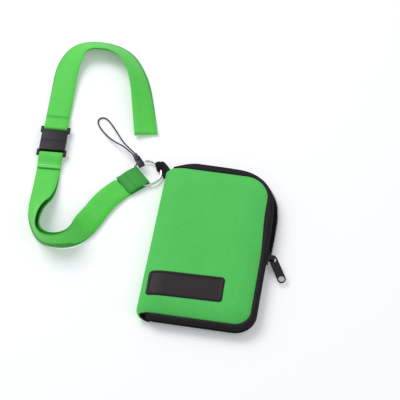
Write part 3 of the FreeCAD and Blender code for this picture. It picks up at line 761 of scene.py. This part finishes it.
def wrapped_uv(sections, reach):
    """Along and across distances for each corner of each section."""
    around = np.linalg.norm(np.diff(sections, axis=1), axis=2)
    around = np.concatenate([np.zeros((len(sections), 1)), np.cumsum(around, axis=1)], axis=1)
    along = np.broadcast_to(np.asarray(reach)[:, None], around.shape)
    return np.stack([along, around], axis=2).reshape(-1, 2)


def make_bindings():
    taper = end_taper(12.0, 5.0)
    for name, line, upside, node, body in (
        ("front_binding_tape", FRONT_LINE, 1, "front_binding", "front_shell"),
        ("back_binding_tape", BACK_LINE, -1, "back_binding", "back_shell"),
    ):
        inner, step = rim_frame(line, taper)
        x, y = INNER_LINE[:, 0], INNER_LINE[:, 1]
        if upside > 0:
            edge = roll_front(x, y, front_z(x, y))
        else:
            edge = back_z(x, y)
        sections = binding_sections(inner, step, edge, upside)
        made = make_bar(name, sections, BINDING_TAPE, sharp=60)
        add_uv(made, wrapped_uv(sections, REACH))
        put_in_place(made, node, body)
        seam = inner + step * 0.30
        path = np.column_stack([seam, edge + upside * 0.72])[4:-3]
        rows = [(path, (0, 0, 1))]
        stitches = bead_rows(name + "_stitches", rows, 2.6, (1.9, 0.42, 0.34), BLACK_THREAD)
        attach(stitches, body)


def flat_section(centre, outwards, half_width, low, high):
    """A strip's cross section with slightly soft corners."""
    soft = min(half_width, (high - low) / 2) * 0.5
    corners = [
        (-half_width, low + soft), (-half_width + soft, low),
        (half_width - soft, low), (half_width, low + soft),
        (half_width, high - soft), (half_width - soft, high),
        (-half_width + soft, high), (-half_width, high - soft),
    ]
    return [[centre[0] + outwards[0] * u, centre[1] + outwards[1] * u, w] for u, w in corners]


def rim_outwards(line):
    """The way out from the panel at each station of a rim line."""
    return unit(rim_frame(line, np.ones(STATIONS))[1])


def strip(name, keep, line, inset, half_width, low, high, material):
    """A strip along the stations that keep picks, set in from a rim line."""
    outwards = rim_outwards(line)
    sections = []
    for i in np.flatnonzero(keep):
        centre = line[i] - outwards[i] * inset
        sections.append(flat_section(centre, outwards[i], half_width, low[i], high[i]))
    sections = np.array(sections)
    made = make_bar(name, sections, material, sharp=50)
    add_uv(made, wrapped_uv(sections, REACH[keep]))
    return made


COIL_HALF = 0.8
COIL_STEP = 1.5


def coil(name, keep, line, inset, z, across, material):
    """One side of a nylon coil: a row of cross loops."""
    path = np.column_stack([line - rim_outwards(line) * inset, z])[keep]
    return bead_rows(name, [(path, (0, 0, 1))], COIL_STEP, (0.78, across, 2 * COIL_HALF), material)


def make_zip():
    y = FRONT_LINE[:, 1]
    right = (np.arange(STATIONS) > 60) | (y < SLIDER[1])
    shut = right & (y < SLIDER[1] - 1)
    opened = ~shut & ~(right & (y < SLIDER[1] + 2)) & (REACH > 5.0)
    shut &= REACH < REACH[-1] - 2.0
    middle = zip_middle(y)
    front_under = front_edge_z(y) - BINDING_HIGH + 0.2
    back_over = back_edge_z(y) + BINDING_HIGH - 0.2

    shut_front = strip("front_tape_shut", shut, FRONT_LINE, 1.4, 0.28, middle + 0.5, front_under, ZIP_TAPE)
    shut_back = strip("back_tape_shut", shut, FRONT_LINE, 1.4, 0.28, back_over, middle - 0.5, ZIP_TAPE)
    over = coil("front_coil_shut", shut, FRONT_LINE, 1.6, middle + COIL_HALF, 2.0, COIL_NYLON)
    under = coil("back_coil_shut", shut, FRONT_LINE, 1.6, middle - COIL_HALF, 2.0, COIL_NYLON)

    fold_low = front_under - 0.9
    tape_low = fold_low + 0.35
    open_front = strip("front_tape_open", opened, FRONT_LINE, 2.6, 0.9, tape_low, front_under, ZIP_TAPE)
    over_open = coil("front_coil_open", opened, FRONT_LINE, 1.8, fold_low + 0.2, 1.7, COIL_NYLON)
    flare = np.interp(REACH, [0, 60, 98, 118, 150, 190], [0.2, 0.3, 1.0, 2.6, 1.8, 0.3])
    panel_edge = rim_frame(BACK_LINE, np.ones(STATIONS))[0]
    flared = BACK_LINE + unit(BACK_LINE - panel_edge) * flare[:, None]
    open_back = strip("back_tape_open", opened, flared, 1.2, 1.9, back_over - 0.1, back_over + 0.4, ZIP_TAPE)
    under_open = coil("back_coil_open", opened, flared, -0.6, back_over + 0.5, 2.0, COIL_NYLON)

    for runs, side, slot in (
        ((shut_front, open_front), "front", "zip_tape"),
        ((shut_back, open_back), "back", "zip_tape"),
        ((over, over_open), "front", "zip_coil"),
        ((under, under_open), "back", "zip_coil"),
    ):
        for made in runs:
            put_in_place(made, side + "_" + slot, side + "_shell")


# ---- pieces that keep their CAD shape, with softened edges ----------------------------------------


def softened(name, node, edge, material, body):
    """A copy of a CAD node with its edges rounded off."""
    shell = bmesh.new()
    shell.from_mesh(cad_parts[node].data)
    bmesh.ops.remove_doubles(shell, verts=shell.verts, dist=1e-6)
    bmesh.ops.dissolve_limit(shell, angle_limit=math.radians(2), verts=shell.verts, edges=shell.edges)
    sharp = [e for e in shell.edges if e.is_manifold and e.calc_face_angle(0) > math.radians(35)]
    bmesh.ops.bevel(
        shell, geom=sharp, offset=edge * MM, offset_type="OFFSET", segments=3, profile=0.5,
        affect="EDGES", clamp_overlap=True,
    )
    bmesh.ops.recalc_face_normals(shell, faces=shell.faces)
    mesh = bpy.data.meshes.new(name)
    shell.to_mesh(mesh)
    shell.free()
    mesh.materials.clear()
    mesh.shade_smooth()
    mesh.set_sharp_from_angle(angle=math.radians(35))
    made = add_object(name, mesh, material)
    put_in_place(made, node, body)
    return made


STRING_TURN = 128
STRING_DRAW = 0.72
STRING_SHIFT = -0.0022
STRING_SLIM = 0.82
STRING_Z = 0.0070
STRING_BASE = polar(RING * MM, 0.01245, 134)


def draw_in(made):
    """Makes a piece of the phone string shorter and slimmer and sets it nearer to the ring."""
    base = Vector((*STRING_BASE, 0))
    way = Vector((*polar((0, 0), 1, STRING_TURN), 0))
    middle = Vector((0, 0, STRING_Z))
    for vertex in made.data.vertices:
        away = vertex.co - base
        reach = away.dot(way)
        across = away - way * reach - middle
        vertex.co = base + middle + way * (reach * STRING_DRAW + STRING_SHIFT) + across * STRING_SLIM


SLIDER_INSIDE = SLIDER_LOW[0] + 3.0


def move(made, shift):
    """Moves a piece's mesh by some millimetres."""
    for vertex in made.data.vertices:
        vertex.co += Vector(shift) * MM


def make_hard_parts():
    slider = softened("slider_body", "slider", 0.35, BLACK_ENAMEL, "slider")
    for vertex in slider.data.vertices:
        inside = min(max((SLIDER_INSIDE - vertex.co.x / MM) / 2.0, 0.0), 1.0)
        vertex.co.z = ZIP_Z * MM + (vertex.co.z - ZIP_Z * MM) * (1 - 0.55 * inside)
        vertex.co.x += 0.0005 * (1 - inside)
    softened("pull_plate", "pull_tab", 0.30, BLACK_ENAMEL, "pull_tab")
    softened("buckle_socket_half", "buckle_socket", 0.45, BUCKLE_PLASTIC, "lanyard")
    softened("buckle_plug_half", "buckle_plug", 0.45, BUCKLE_PLASTIC, "plug")
    for name, node, edge, plastic, body in (
        ("string_socket_shell", "string_socket", 0.6, STRING_PLASTIC, "string_base"),
        ("string_plug_shell", "string_plug", 0.6, STRING_PLASTIC, "string_loop"),
        ("string_crimp_sleeve", "string_crimp", 0.4, CRIMP_PLASTIC, "string_loop"),
    ):
        draw_in(softened(name, node, edge, plastic, body))
    softened("string_tie_cord", "string_tie", 0.25, BRAIDED_CORD, "string_base")
    for name, node, edge, body, shift in (
        ("back_start_stop", "back_top_stop", 0.25, "back_shell", (6.4, -5.4, 0.4)),
        ("front_start_stop", "front_top_stop", 0.2, "front_shell", (6.4, -5.4, 0.2)),
        ("zip_end_stop", "end_stop", 0.25, "back_shell", (7.5, 3.2, -0.4)),
    ):
        move(softened(name, node, edge, BLACK_ENAMEL, body), shift)


# ---- label patch ----------------------------------------------------------------------------------

PATCH_LOW, PATCH_HIGH = cad_box("label_patch")
PATCH_CENTRE = (PATCH_LOW + PATCH_HIGH) / 2
PATCH_SPAN = PATCH_HIGH - PATCH_LOW


def make_patch():
    """A moulded patch with a raised border, laid on the domed front."""
    half_x, half_y = PATCH_SPAN[0] / 2 + 0.3, PATCH_SPAN[1] / 2 + 0.8
    corner = 3.0
    turn = math.radians(1.5)
    steps = [0.0, 0.5, 1.0, 1.5, 2.0, 2.6, 3.1, 3.6, 4.4]
    heights = [0.0, 0.95, 1.25, 1.35, 1.25, 0.72, 0.62, 0.60, 0.60]
    rings = []
    for inset, rise in zip(steps, heights):
        hx, hy, radius = half_x - inset, half_y - inset, max(corner - inset, 0.6)
        line = []
        for cx, cy, start in ((1, 1, 0), (-1, 1, 90), (-1, -1, 180), (1, -1, 270)):
            for degrees in np.linspace(start, start + 90, 7):
                line.append(polar((cx * (hx - radius), cy * (hy - radius)), radius, degrees))
        rings.append((densify(line), rise))
    points, faces = [], []
    for line, rise in rings:
        for u, v in line:
            points.append(on_patch(u, v, turn, rise))
    count = len(rings[0][0])
    faces += grid_faces(len(rings), count, wrap_columns=True)
    last = (len(rings) - 1) * count
    field = fill_field(rings[-1][0], turn, heights[-1], points, last)
    made = make_piece("patch", points, faces + field, BLACK_RUBBER, closed=False, sharp=50)
    wall = made.modifiers.new("wall", "SOLIDIFY")
    wall.thickness = 0.5 * MM
    wall.offset = -1
    as_mesh(made)
    turn_outwards(made.data)
    put_in_place(made, "label_patch", "front_shell")


def densify(line):
    """Adds points on the four sides of a line that has seven points to each round corner."""
    full = []
    for i, point in enumerate(line):
        after = line[(i + 1) % len(line)]
        count = {6: 22, 13: 7, 20: 22, 27: 7}.get(i, 1)
        for k in range(count):
            full.append(tuple(a + (b - a) * k / count for a, b in zip(point, after)))
    return full


def on_patch(u, v, turn, rise):
    x = PATCH_CENTRE[0] + u * math.cos(turn) - v * math.sin(turn)
    y = PATCH_CENTRE[1] - 2.0 + u * math.sin(turn) + v * math.cos(turn)
    spot = front_surface(np.array(x), np.array(y))
    return spot + np.array([0, 0, rise - 0.15])


def fill_field(line, turn, rise, points, first):
    """Shrinking rings that close the patch's flat middle."""
    count = len(line)
    rings = 5
    for k in range(1, rings + 1):
        share = 1 - k / (rings + 0.5)
        for u, v in line:
            inwards = math.copysign(min(abs(u), PATCH_SPAN[1] / 2 * (1 - share)), u)
            points.append(on_patch(u - inwards, v * share, turn, rise))
    extra = []
    for k in range(rings):
        for i in range(count):
            a = first + k * count
            b = a + count
            j = (i + 1) % count
            extra.append((a + i, a + j, b + j, b + i))
    extra.append(tuple(range(first + rings * count, first + (rings + 1) * count)))
    return extra


# ---- split ring and corner tab --------------------------------------------------------------------


def make_ring():
    """A split ring: flat wire wound twice, with the step between its two coils."""
    wire = 1.5
    wound = 716
    mid = RING_OUTER - wire / 2
    level = (RING_HIGH[2] - RING_LOW[2]) / 4
    turns = np.radians(np.arange(0, wound, 4))
    start = math.radians(118)
    sections = []
    for turn in turns:
        rise = smooth_step((math.degrees(turn) - 345) / 30)
        z = RING[2] - level + 2 * level * rise
        end = min(math.degrees(turn), wound - math.degrees(turn)) / 6
        thin = min(1.0, 0.55 + 0.45 * end)
        angle = start + turn
        out = np.array([math.cos(angle), math.sin(angle), 0])
        centre = np.array([RING[0], RING[1], 0]) + out * mid + np.array([0, 0, z])
        loop = []
        for k in range(12):
            a = 2 * math.pi * k / 12
            u = math.copysign(abs(math.cos(a)) ** 0.6, math.cos(a)) * wire / 2 * thin
            w = math.copysign(abs(math.sin(a)) ** 0.6, math.sin(a)) * (level - 0.03) * thin
            loop.append(centre + out * u + np.array([0, 0, w]))
        sections.append(loop)
    made = make_bar("ring_wire", sections, POLISHED_STEEL, sharp=70)
    put_in_place(made, "split_ring", "ring")


def strap_loop(name, rail, width, thick, material, sideways, taper=None):
    """A tape of some width along a rail of points, as a solid; sideways gives its width direction."""
    rail = np.asarray(rail, float)
    way = tangents(rail)
    side = unit(np.asarray(sideways, float) - np.sum(sideways * way, axis=1, keepdims=True) * way)
    up = np.cross(way, side)
    half = width / 2 * (np.ones(len(rail)) if taper is None else np.asarray(taper))
    across = np.array([-1, -0.92, -0.5, 0, 0.5, 0.92, 1])
    lift = np.array([0, 0.5, 0.5, 0.5, 0.5, 0.5, 0]) * thick
    corners = list(zip(across, lift))
    corners += [(a, -h) for a, h in zip(across[-2:0:-1], lift[-2:0:-1])]
    sections = np.stack(
        [rail + side * (half * a)[:, None] + up * h for a, h in corners], axis=1,
    )
    made = make_bar(name, sections, material, sharp=60)
    along = np.repeat(path_reach(rail), len(corners))
    add_uv(made, np.stack([along, np.tile([a * width / 2 for a, _ in corners], len(rail))], 1))
    return made, side


def make_tab():
    """The corner tab: a short tape folded round the ring's wire and sewn into the corner."""
    base = np.array([SPINE_X + 0.2, EDGE_TOP - 4.0, 6.5])
    turn = math.radians(42)
    wire = np.array([RING[0] + 12.45 * math.cos(turn), RING[1] + 12.45 * math.sin(turn), RING[2] + 0.5])
    knee = np.array([wire[0] + 3.0, wire[1] + 0.8, 5.0])
    at_wire = np.array([-0.62, 0.76, 0.18])
    at_base = np.array([0.50, 0.40, 0.76])
    plan = [(share, 1.0, 0.0) for share in np.linspace(1, 0, 18, endpoint=False)]
    plan += [(0.0, math.sin(angle), math.cos(angle)) for angle in np.radians(np.linspace(90, 270, 15))]
    plan += [(share, -1.0, 0.0) for share in np.linspace(0, 1, 18)[1:]]
    rail, sideways = [], []
    for share, lift, ahead in plan:
        spot = wire * (1 - share) ** 2 + knee * 2 * share * (1 - share) + base * share ** 2
        way = unit((knee - wire) * (1 - share) + (base - knee) * share)
        across = at_wire + (at_base - at_wire) * smooth_step(share)
        across = unit(across - np.dot(across, way) * way)
        up = np.cross(way, across)
        gape = 2.0 - 1.35 * smooth_step(share * 1.3)
        rail.append(spot + up * gape * lift + way * 2.6 * ahead)
        sideways.append(across)
    rail = np.array(rail)
    narrow = 1 - 0.22 * np.sin(np.linspace(0, math.pi, len(rail))) ** 0.5
    made, _ = strap_loop("corner_tab", rail, 10.0, 1.0, TAB_TAPE, np.array(sideways), narrow)
    for vertex in made.data.vertices:
        vertex.co.z = max(vertex.co.z, 0.00015)
    put_in_place(made, "corner_tab_loop", "back_shell")


# ---- lanyard --------------------------------------------------------------------------------------
# Routes from the ring's centre in metres, each point with the strap's bank in degrees: its outer edge
# rests on the table and its inner edge stands up in the turns.

UPPER_Z = 2.25
UNDER_Z = 0.75
NEAR_ROUTE = [
    (-0.0285, -0.0315, 8), (-0.0380, -0.0585, 18), (-0.0488, -0.0852, 94), (-0.0758, -0.0872, 106),
    (-0.0838, -0.0595, 60), (-0.0808, -0.0335, 8),
]
NEAR_UNDER = [
    (-0.0292, -0.0306, 5), (-0.0382, -0.0576, 14), (-0.0484, -0.0840, 82), (-0.0745, -0.0858, 92),
    (-0.0828, -0.0592, 46), (-0.0806, -0.0335, 4),
]
BELOW_BUCKLE = [(-0.0826, -0.0085, 0), (-0.0858, 0.0345, 0)]
FAR_ROUTE = [
    (-0.0872, 0.0745, 3), (-0.0886, 0.1055, 12), (-0.0796, 0.1280, 34), (-0.0452, 0.1268, 40),
    (-0.0262, 0.1012, 40), (-0.0158, 0.0678, 26),
]
FAR_UNDER = [
    (-0.0879, 0.0745, 2), (-0.0899, 0.1062, 10), (-0.0804, 0.1294, 31), (-0.0444, 0.1283, 36),
    (-0.0250, 0.1020, 36), (-0.0149, 0.0682, 23),
]
FOLD_BANK = 8
BUCKLE_SPOT = (RING[0] * MM - 0.0840, RING[1] * MM + 0.0192)
BUCKLE_TURN = 93.5
BUCKLE_REACH = 0.0286
FOLD_SPOT = (-0.0084, 0.0419, FOLD_BANK)


def from_ring(route):
    """A route's points in the pouch's frame; the third value is kept."""
    return [(RING[0] * MM + x, RING[1] * MM + y, third) for x, y, third in route]


def smooth_line(name, points):
    """The points of a NURBS spline whose control points are a route's, in metres."""
    curve = bpy.data.curves.new(name, "CURVE")
    curve.dimensions = "3D"
    curve.resolution_u = 14
    spline = curve.splines.new("NURBS")
    spline.points.add(len(points) - 1)
    for spot, (x, y, z) in zip(spline.points, points):
        spot.co = (x, y, z, 1)
    spline.order_u = 3
    spline.use_endpoint_u = True
    holder = bpy.data.objects.new(name, curve)
    bpy.context.scene.collection.objects.link(holder)
    holder_now = holder.evaluated_get(bpy.context.evaluated_depsgraph_get())
    line = bpy.data.meshes.new_from_object(holder_now)
    found = np.array([vertex.co for vertex in line.vertices])
    bpy.data.objects.remove(holder)
    bpy.data.meshes.remove(line)
    return found


def bank_line(name, points, flat_z):
    """A strap's middle line in millimetres and its width direction, from a route with banks."""
    line = smooth_line(name, [(x, y, math.radians(bank)) for x, y, bank in points])
    bank = line[:, 2].copy()
    line = np.column_stack([line[:, 0] / MM, line[:, 1] / MM, flat_z + WEBBING_HALF * np.sin(bank)])
    way = tangents(line)
    right = unit(np.stack([way[:, 1], -way[:, 0], np.zeros(len(way))], axis=1))
    sides = right * np.cos(bank)[:, None] + np.array([0, 0, 1.0]) * np.sin(bank)[:, None]
    return line, sides


def make_strap(name, node, points, flat_z):
    """One layer of the lanyard, with its middle line and its width directions."""
    line, sides = bank_line(name + "_line", points, flat_z)
    # The under layer gets the darker webbing, which is painted shade.
    cloth = SHADED_UNDER_WEBBING if flat_z == UNDER_Z else GREEN_WEBBING
    made, side = strap_loop(name, line, 2 * WEBBING_HALF, WEBBING_THICK, cloth, sides)
    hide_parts(node)
    return made, (line, side)


def make_lanyard():
    ring_end = polar(RING * MM, 0.0240, 224)
    near_end = polar(BUCKLE_SPOT, -BUCKLE_REACH, BUCKLE_TURN)
    far_end = polar(BUCKLE_SPOT, BUCKLE_REACH, BUCKLE_TURN)
    near = [(*ring_end, 0), *from_ring(NEAR_ROUTE), (*near_end, 0)]
    far = [(*far_end, 0), *from_ring(FAR_ROUTE + [FOLD_SPOT])]
    under = [(*ring_end, 0), *from_ring(NEAR_UNDER + BELOW_BUCKLE + FAR_UNDER + [FOLD_SPOT])]
    near_strap, near_line = make_strap("upper_near_strap", "near_strap", near, UPPER_Z)
    far_strap, far_line = make_strap("upper_far_strap", "far_strap", far, UPPER_Z)
    under_strap, under_line = make_strap("under_layer_strap", "under_strap", under, UNDER_Z)
    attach(near_strap, "lanyard")
    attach(under_strap, "lanyard")
    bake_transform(far_strap)
    make_fold(far_line, under_line)
    make_end_block(near_line)
    make_buckle_wraps()


def make_fold(far_line, under_line):
    """The turn that joins the far strap to the layer under it."""
    upper, side = far_line
    lower, _ = under_line
    ahead = unit(upper[-1] - upper[-3])
    middle = (upper[-1] + lower[-1]) / 2
    lift = (upper[-1] - lower[-1]) / 2
    rail = []
    for angle in np.radians(np.linspace(90, -90, 13)):
        out = ahead * np.linalg.norm(lift) * 1.25 * math.cos(angle)
        rail.append(middle + lift * math.sin(angle) + out)
    sideways = np.broadcast_to(side[-1], (len(rail), 3))
    made, _ = strap_loop("end_fold", rail, 2 * WEBBING_HALF, WEBBING_THICK, GREEN_WEBBING, sideways)
    put_in_place(made, "strap_fold", "lanyard")


def make_end_block(near_line):
    """The strap's sewn end: both layers caught in a short fold round the ring's wire."""
    start = near_line[0][0]
    out = unit(np.array([start[0] - RING[0], start[1] - RING[1], 0.0]))
    inner = RING_OUTER - 9.4
    fold = np.array([RING[0], RING[1], 0]) + out * inner
    rail = []
    high, low = 4.9, UNDER_Z
    mid = (high + low) / 2
    bend_radius = 3.0
    reach = np.linalg.norm((start - fold)[:2])

    def top_z(share):
        """The upper layer sinks from the fold towards the strap."""
        return mid + (high - mid) * (1 - 0.62 * smooth_step((share - 0.45) / 0.4))

    for share in np.linspace(1, 0.16, 14):
        rail.append(fold + out * reach * share + np.array([0, 0, top_z(share)]))
    for angle in np.radians(np.linspace(70, -70, 9)):
        centre = fold + out * bend_radius
        z = mid + (high - mid) * math.sin(angle)
        rail.append(centre - out * bend_radius * math.cos(angle) + np.array([0, 0, z]))
    for share in np.linspace(0.16, 1, 14):
        rail.append(fold + out * reach * share + np.array([0, 0, low]))
    rail = np.array(rail)
    across = np.array([-out[1], out[0], 0.0])
    sideways = np.broadcast_to(across, rail.shape)
    width = 2 * WEBBING_HALF + 0.3
    # The end block takes the darker webbing as painted shade.
    made, _ = strap_loop("sewn_end", rail, width, WEBBING_THICK, SHADED_END_WEBBING, sideways)
    put_in_place(made, "ring_end_loop", "lanyard")
    rows = []
    for share in (0.62, 0.94):
        centre = fold + out * reach * share
        seam = np.array([0, 0, top_z(share) + 0.62])
        rows.append(([centre + across * u + seam for u in np.linspace(-8.6, 8.6, 9)], (0, 0, 1)))
    # These stitches take the dark thread as painted shade.
    stitches = bead_rows("sewn_end_stitches", rows, 1.9, (1.5, 0.65, 0.5), SHADED_THREAD)
    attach(stitches, "lanyard")


WRAP_RADIUS = 1.72
WRAP_REACH = 14.0
BAR_REACH = 14.1


def wrap_top(reach):
    """Height of a wrap's upper layer over the bar, sinking towards the strap."""
    return WRAP_RADIUS - 2.1 * smooth_step((reach - 1.5) / 8.0)


def wrap_under(reach):
    return -WRAP_RADIUS + 0.12 * smooth_step((reach - 1.5) / 8.0)


def make_buckle_wraps():
    """The two folds of webbing round the buckle's bars, each sewn down across the strap."""
    buckle_low, buckle_high = cad_box("buckle_plug")
    near_low, near_high = cad_box("near_buckle_loop")
    far_low, far_high = cad_box("far_buckle_loop")
    near_mid, far_mid = (near_low + near_high) / 2, (far_low + far_high) / 2
    axis = unit(np.array([far_mid[0] - near_mid[0], far_mid[1] - near_mid[1], 0.0]))
    centre = (near_mid + far_mid) / 2
    bar_z = (buckle_low[2] + buckle_high[2]) / 2
    # The far wrap's stitches take the dark thread as painted shade of the step at its fold's end; the near
    # wrap's stitches take the pale thread.
    for name, node, way, body, colour in (
        ("near_wrap", "near_buckle_loop", -1, "lanyard", GREEN_THREAD),
        ("far_wrap", "far_buckle_loop", 1, "plug", SHADED_THREAD),
    ):
        out = axis * way
        bar = np.array([centre[0], centre[1], 0]) + out * BAR_REACH + np.array([0, 0, bar_z])
        rail = []
        for reach in np.linspace(WRAP_REACH, 1.6, 12):
            rail.append(bar + out * reach + np.array([0, 0, wrap_top(reach)]))
        for angle in np.radians(np.linspace(80, 280, 15)):
            z = WRAP_RADIUS * math.sin(angle)
            rail.append(bar + out * WRAP_RADIUS * math.cos(angle) + np.array([0, 0, z]))
        for reach in np.linspace(1.6, WRAP_REACH, 12):
            rail.append(bar + out * reach + np.array([0, 0, wrap_under(reach)]))
        rail = np.array(rail)
        across = np.array([-axis[1], axis[0], 0.0])
        sideways = np.broadcast_to(across, rail.shape)
        made, _ = strap_loop(name, rail, 2 * WEBBING_HALF, WEBBING_THICK, GREEN_WEBBING, sideways)
        put_in_place(made, node, body)
        rows = []
        for reach in (11.6, 13.0):
            spot = bar + out * reach + np.array([0, 0, wrap_top(reach) + 0.6])
            rows.append(([spot + across * u for u in np.linspace(-8.8, 8.8, 9)], (0, 0, 1)))
        stitches = bead_rows(name + "_stitches", rows, 1.9, (1.5, 0.75, 0.5), colour)
        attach(stitches, body)


# ---- phone string ---------------------------------------------------------------------------------

STRING_LOOP = [
    (-0.0230, 0.0220, 0.0062), (-0.0320, 0.0270, 0.0040), (-0.0405, 0.0340, 0.0018),
    (-0.0470, 0.0410, 0.0008), (-0.0512, 0.0470, 0.0007), (-0.0515, 0.0517, 0.0007),
    (-0.0478, 0.0545, 0.0007), (-0.0433, 0.0523, 0.0007), (-0.0390, 0.0475, 0.0009),
    (-0.0330, 0.0395, 0.0020), (-0.0270, 0.0300, 0.0043), (-0.0215, 0.0230, 0.0063),
]
CORD_RADIUS = 0.65
CORD_GAP = 0.000975


def make_string():
    """A thin braided cord from the crimp, round in a slim loop on the table and back."""
    crimp_end = polar(STRING_BASE, 0.0130 * STRING_DRAW + STRING_SHIFT, STRING_TURN)
    leave = polar(crimp_end, CORD_GAP, 218)
    come_back = polar(crimp_end, CORD_GAP, 38)
    points = [(*leave, STRING_Z), *from_ring(STRING_LOOP), (*come_back, STRING_Z)]
    line = smooth_line("string_line", points) / MM
    way = tangents(line)
    side = unit(np.cross(way, [0, 0, 1.0]))
    up = np.cross(side, way)
    angles = np.linspace(0, 2 * math.pi, 10, endpoint=False)
    sections = np.stack(
        [line + (side * math.cos(a) + up * math.sin(a)) * CORD_RADIUS for a in angles], axis=1,
    )
    made = make_bar("string_loop_cord", sections, BRAIDED_CORD, sharp=80)
    along = np.repeat(path_reach(line), len(angles))
    add_uv(made, np.stack([along, np.tile(angles * CORD_RADIUS, len(line))], 1))
    put_in_place(made, "string_cord", "string_loop")


# ---- stage ----------------------------------------------------------------------------------------


def make_floor():
    mesh = bpy.data.meshes.new("table_top")
    half = 3.0
    corners = [(-half, -half, 0), (half, -half, 0), (half, half, 0), (-half, half, 0)]
    mesh.from_pydata(corners, [], [(0, 1, 2, 3)])
    floor = add_object("table_top", mesh, pale_table())


def make_light(name, place, target, size, power, colour):
    lamp = bpy.data.lights.new(name, "AREA")
    lamp.shape = "RECTANGLE"
    lamp.size, lamp.size_y = size
    lamp.energy = power
    lamp.color = colour
    made = bpy.data.objects.new(name, lamp)
    bpy.context.scene.collection.objects.link(made)
    made.location = place
    made.rotation_euler = (Vector(target) - Vector(place)).to_track_quat("-Z", "Y").to_euler()


def light_the_room():
    world = bpy.data.worlds.new("soft_room")
    world.use_nodes = True
    sky = world.node_tree.nodes["Background"].inputs
    sky["Color"].default_value = (0.93, 0.95, 1.0, 1)
    sky["Strength"].default_value = 0.42
    bpy.context.scene.world = world
    middle = (-0.03, 0.05, 0)
    make_light("window", (-0.9, 0.75, 1.3), middle, (1.1, 1.1), 17, (1.0, 0.985, 0.96))
    make_light("fill", (0.9, -0.5, 1.1), middle, (1.2, 1.2), 4, (0.93, 0.96, 1.0))
    scene = bpy.context.scene
    scene.view_settings.view_transform = "Standard"
    scene.view_settings.exposure = 0.0


def make_camera():
    """A long lens from above the near edge, turned a little to the right."""
    azimuth, elevation, distance = math.radians(9.4), math.radians(54), 1.5833
    look = Vector((-0.01665, 0.0503, 0))
    level = math.cos(elevation)
    back = Vector((math.sin(azimuth) * level, -math.cos(azimuth) * level, math.sin(elevation)))
    lens = bpy.data.cameras.new("camera")
    lens.sensor_width = 36
    lens.lens = 171
    lens.clip_end = 20
    camera = bpy.data.objects.new("camera", lens)
    bpy.context.scene.collection.objects.link(camera)
    camera.location = look + distance * back
    camera.rotation_euler = (-back).to_track_quat("-Z", "Y").to_euler()
    bpy.context.scene.camera = camera


make_camera()
make_lanyard()
make_string()
make_covers()
make_bindings()
make_zip()
make_patch()
make_ring()
make_tab()
make_hard_parts()
make_floor()
light_the_room()
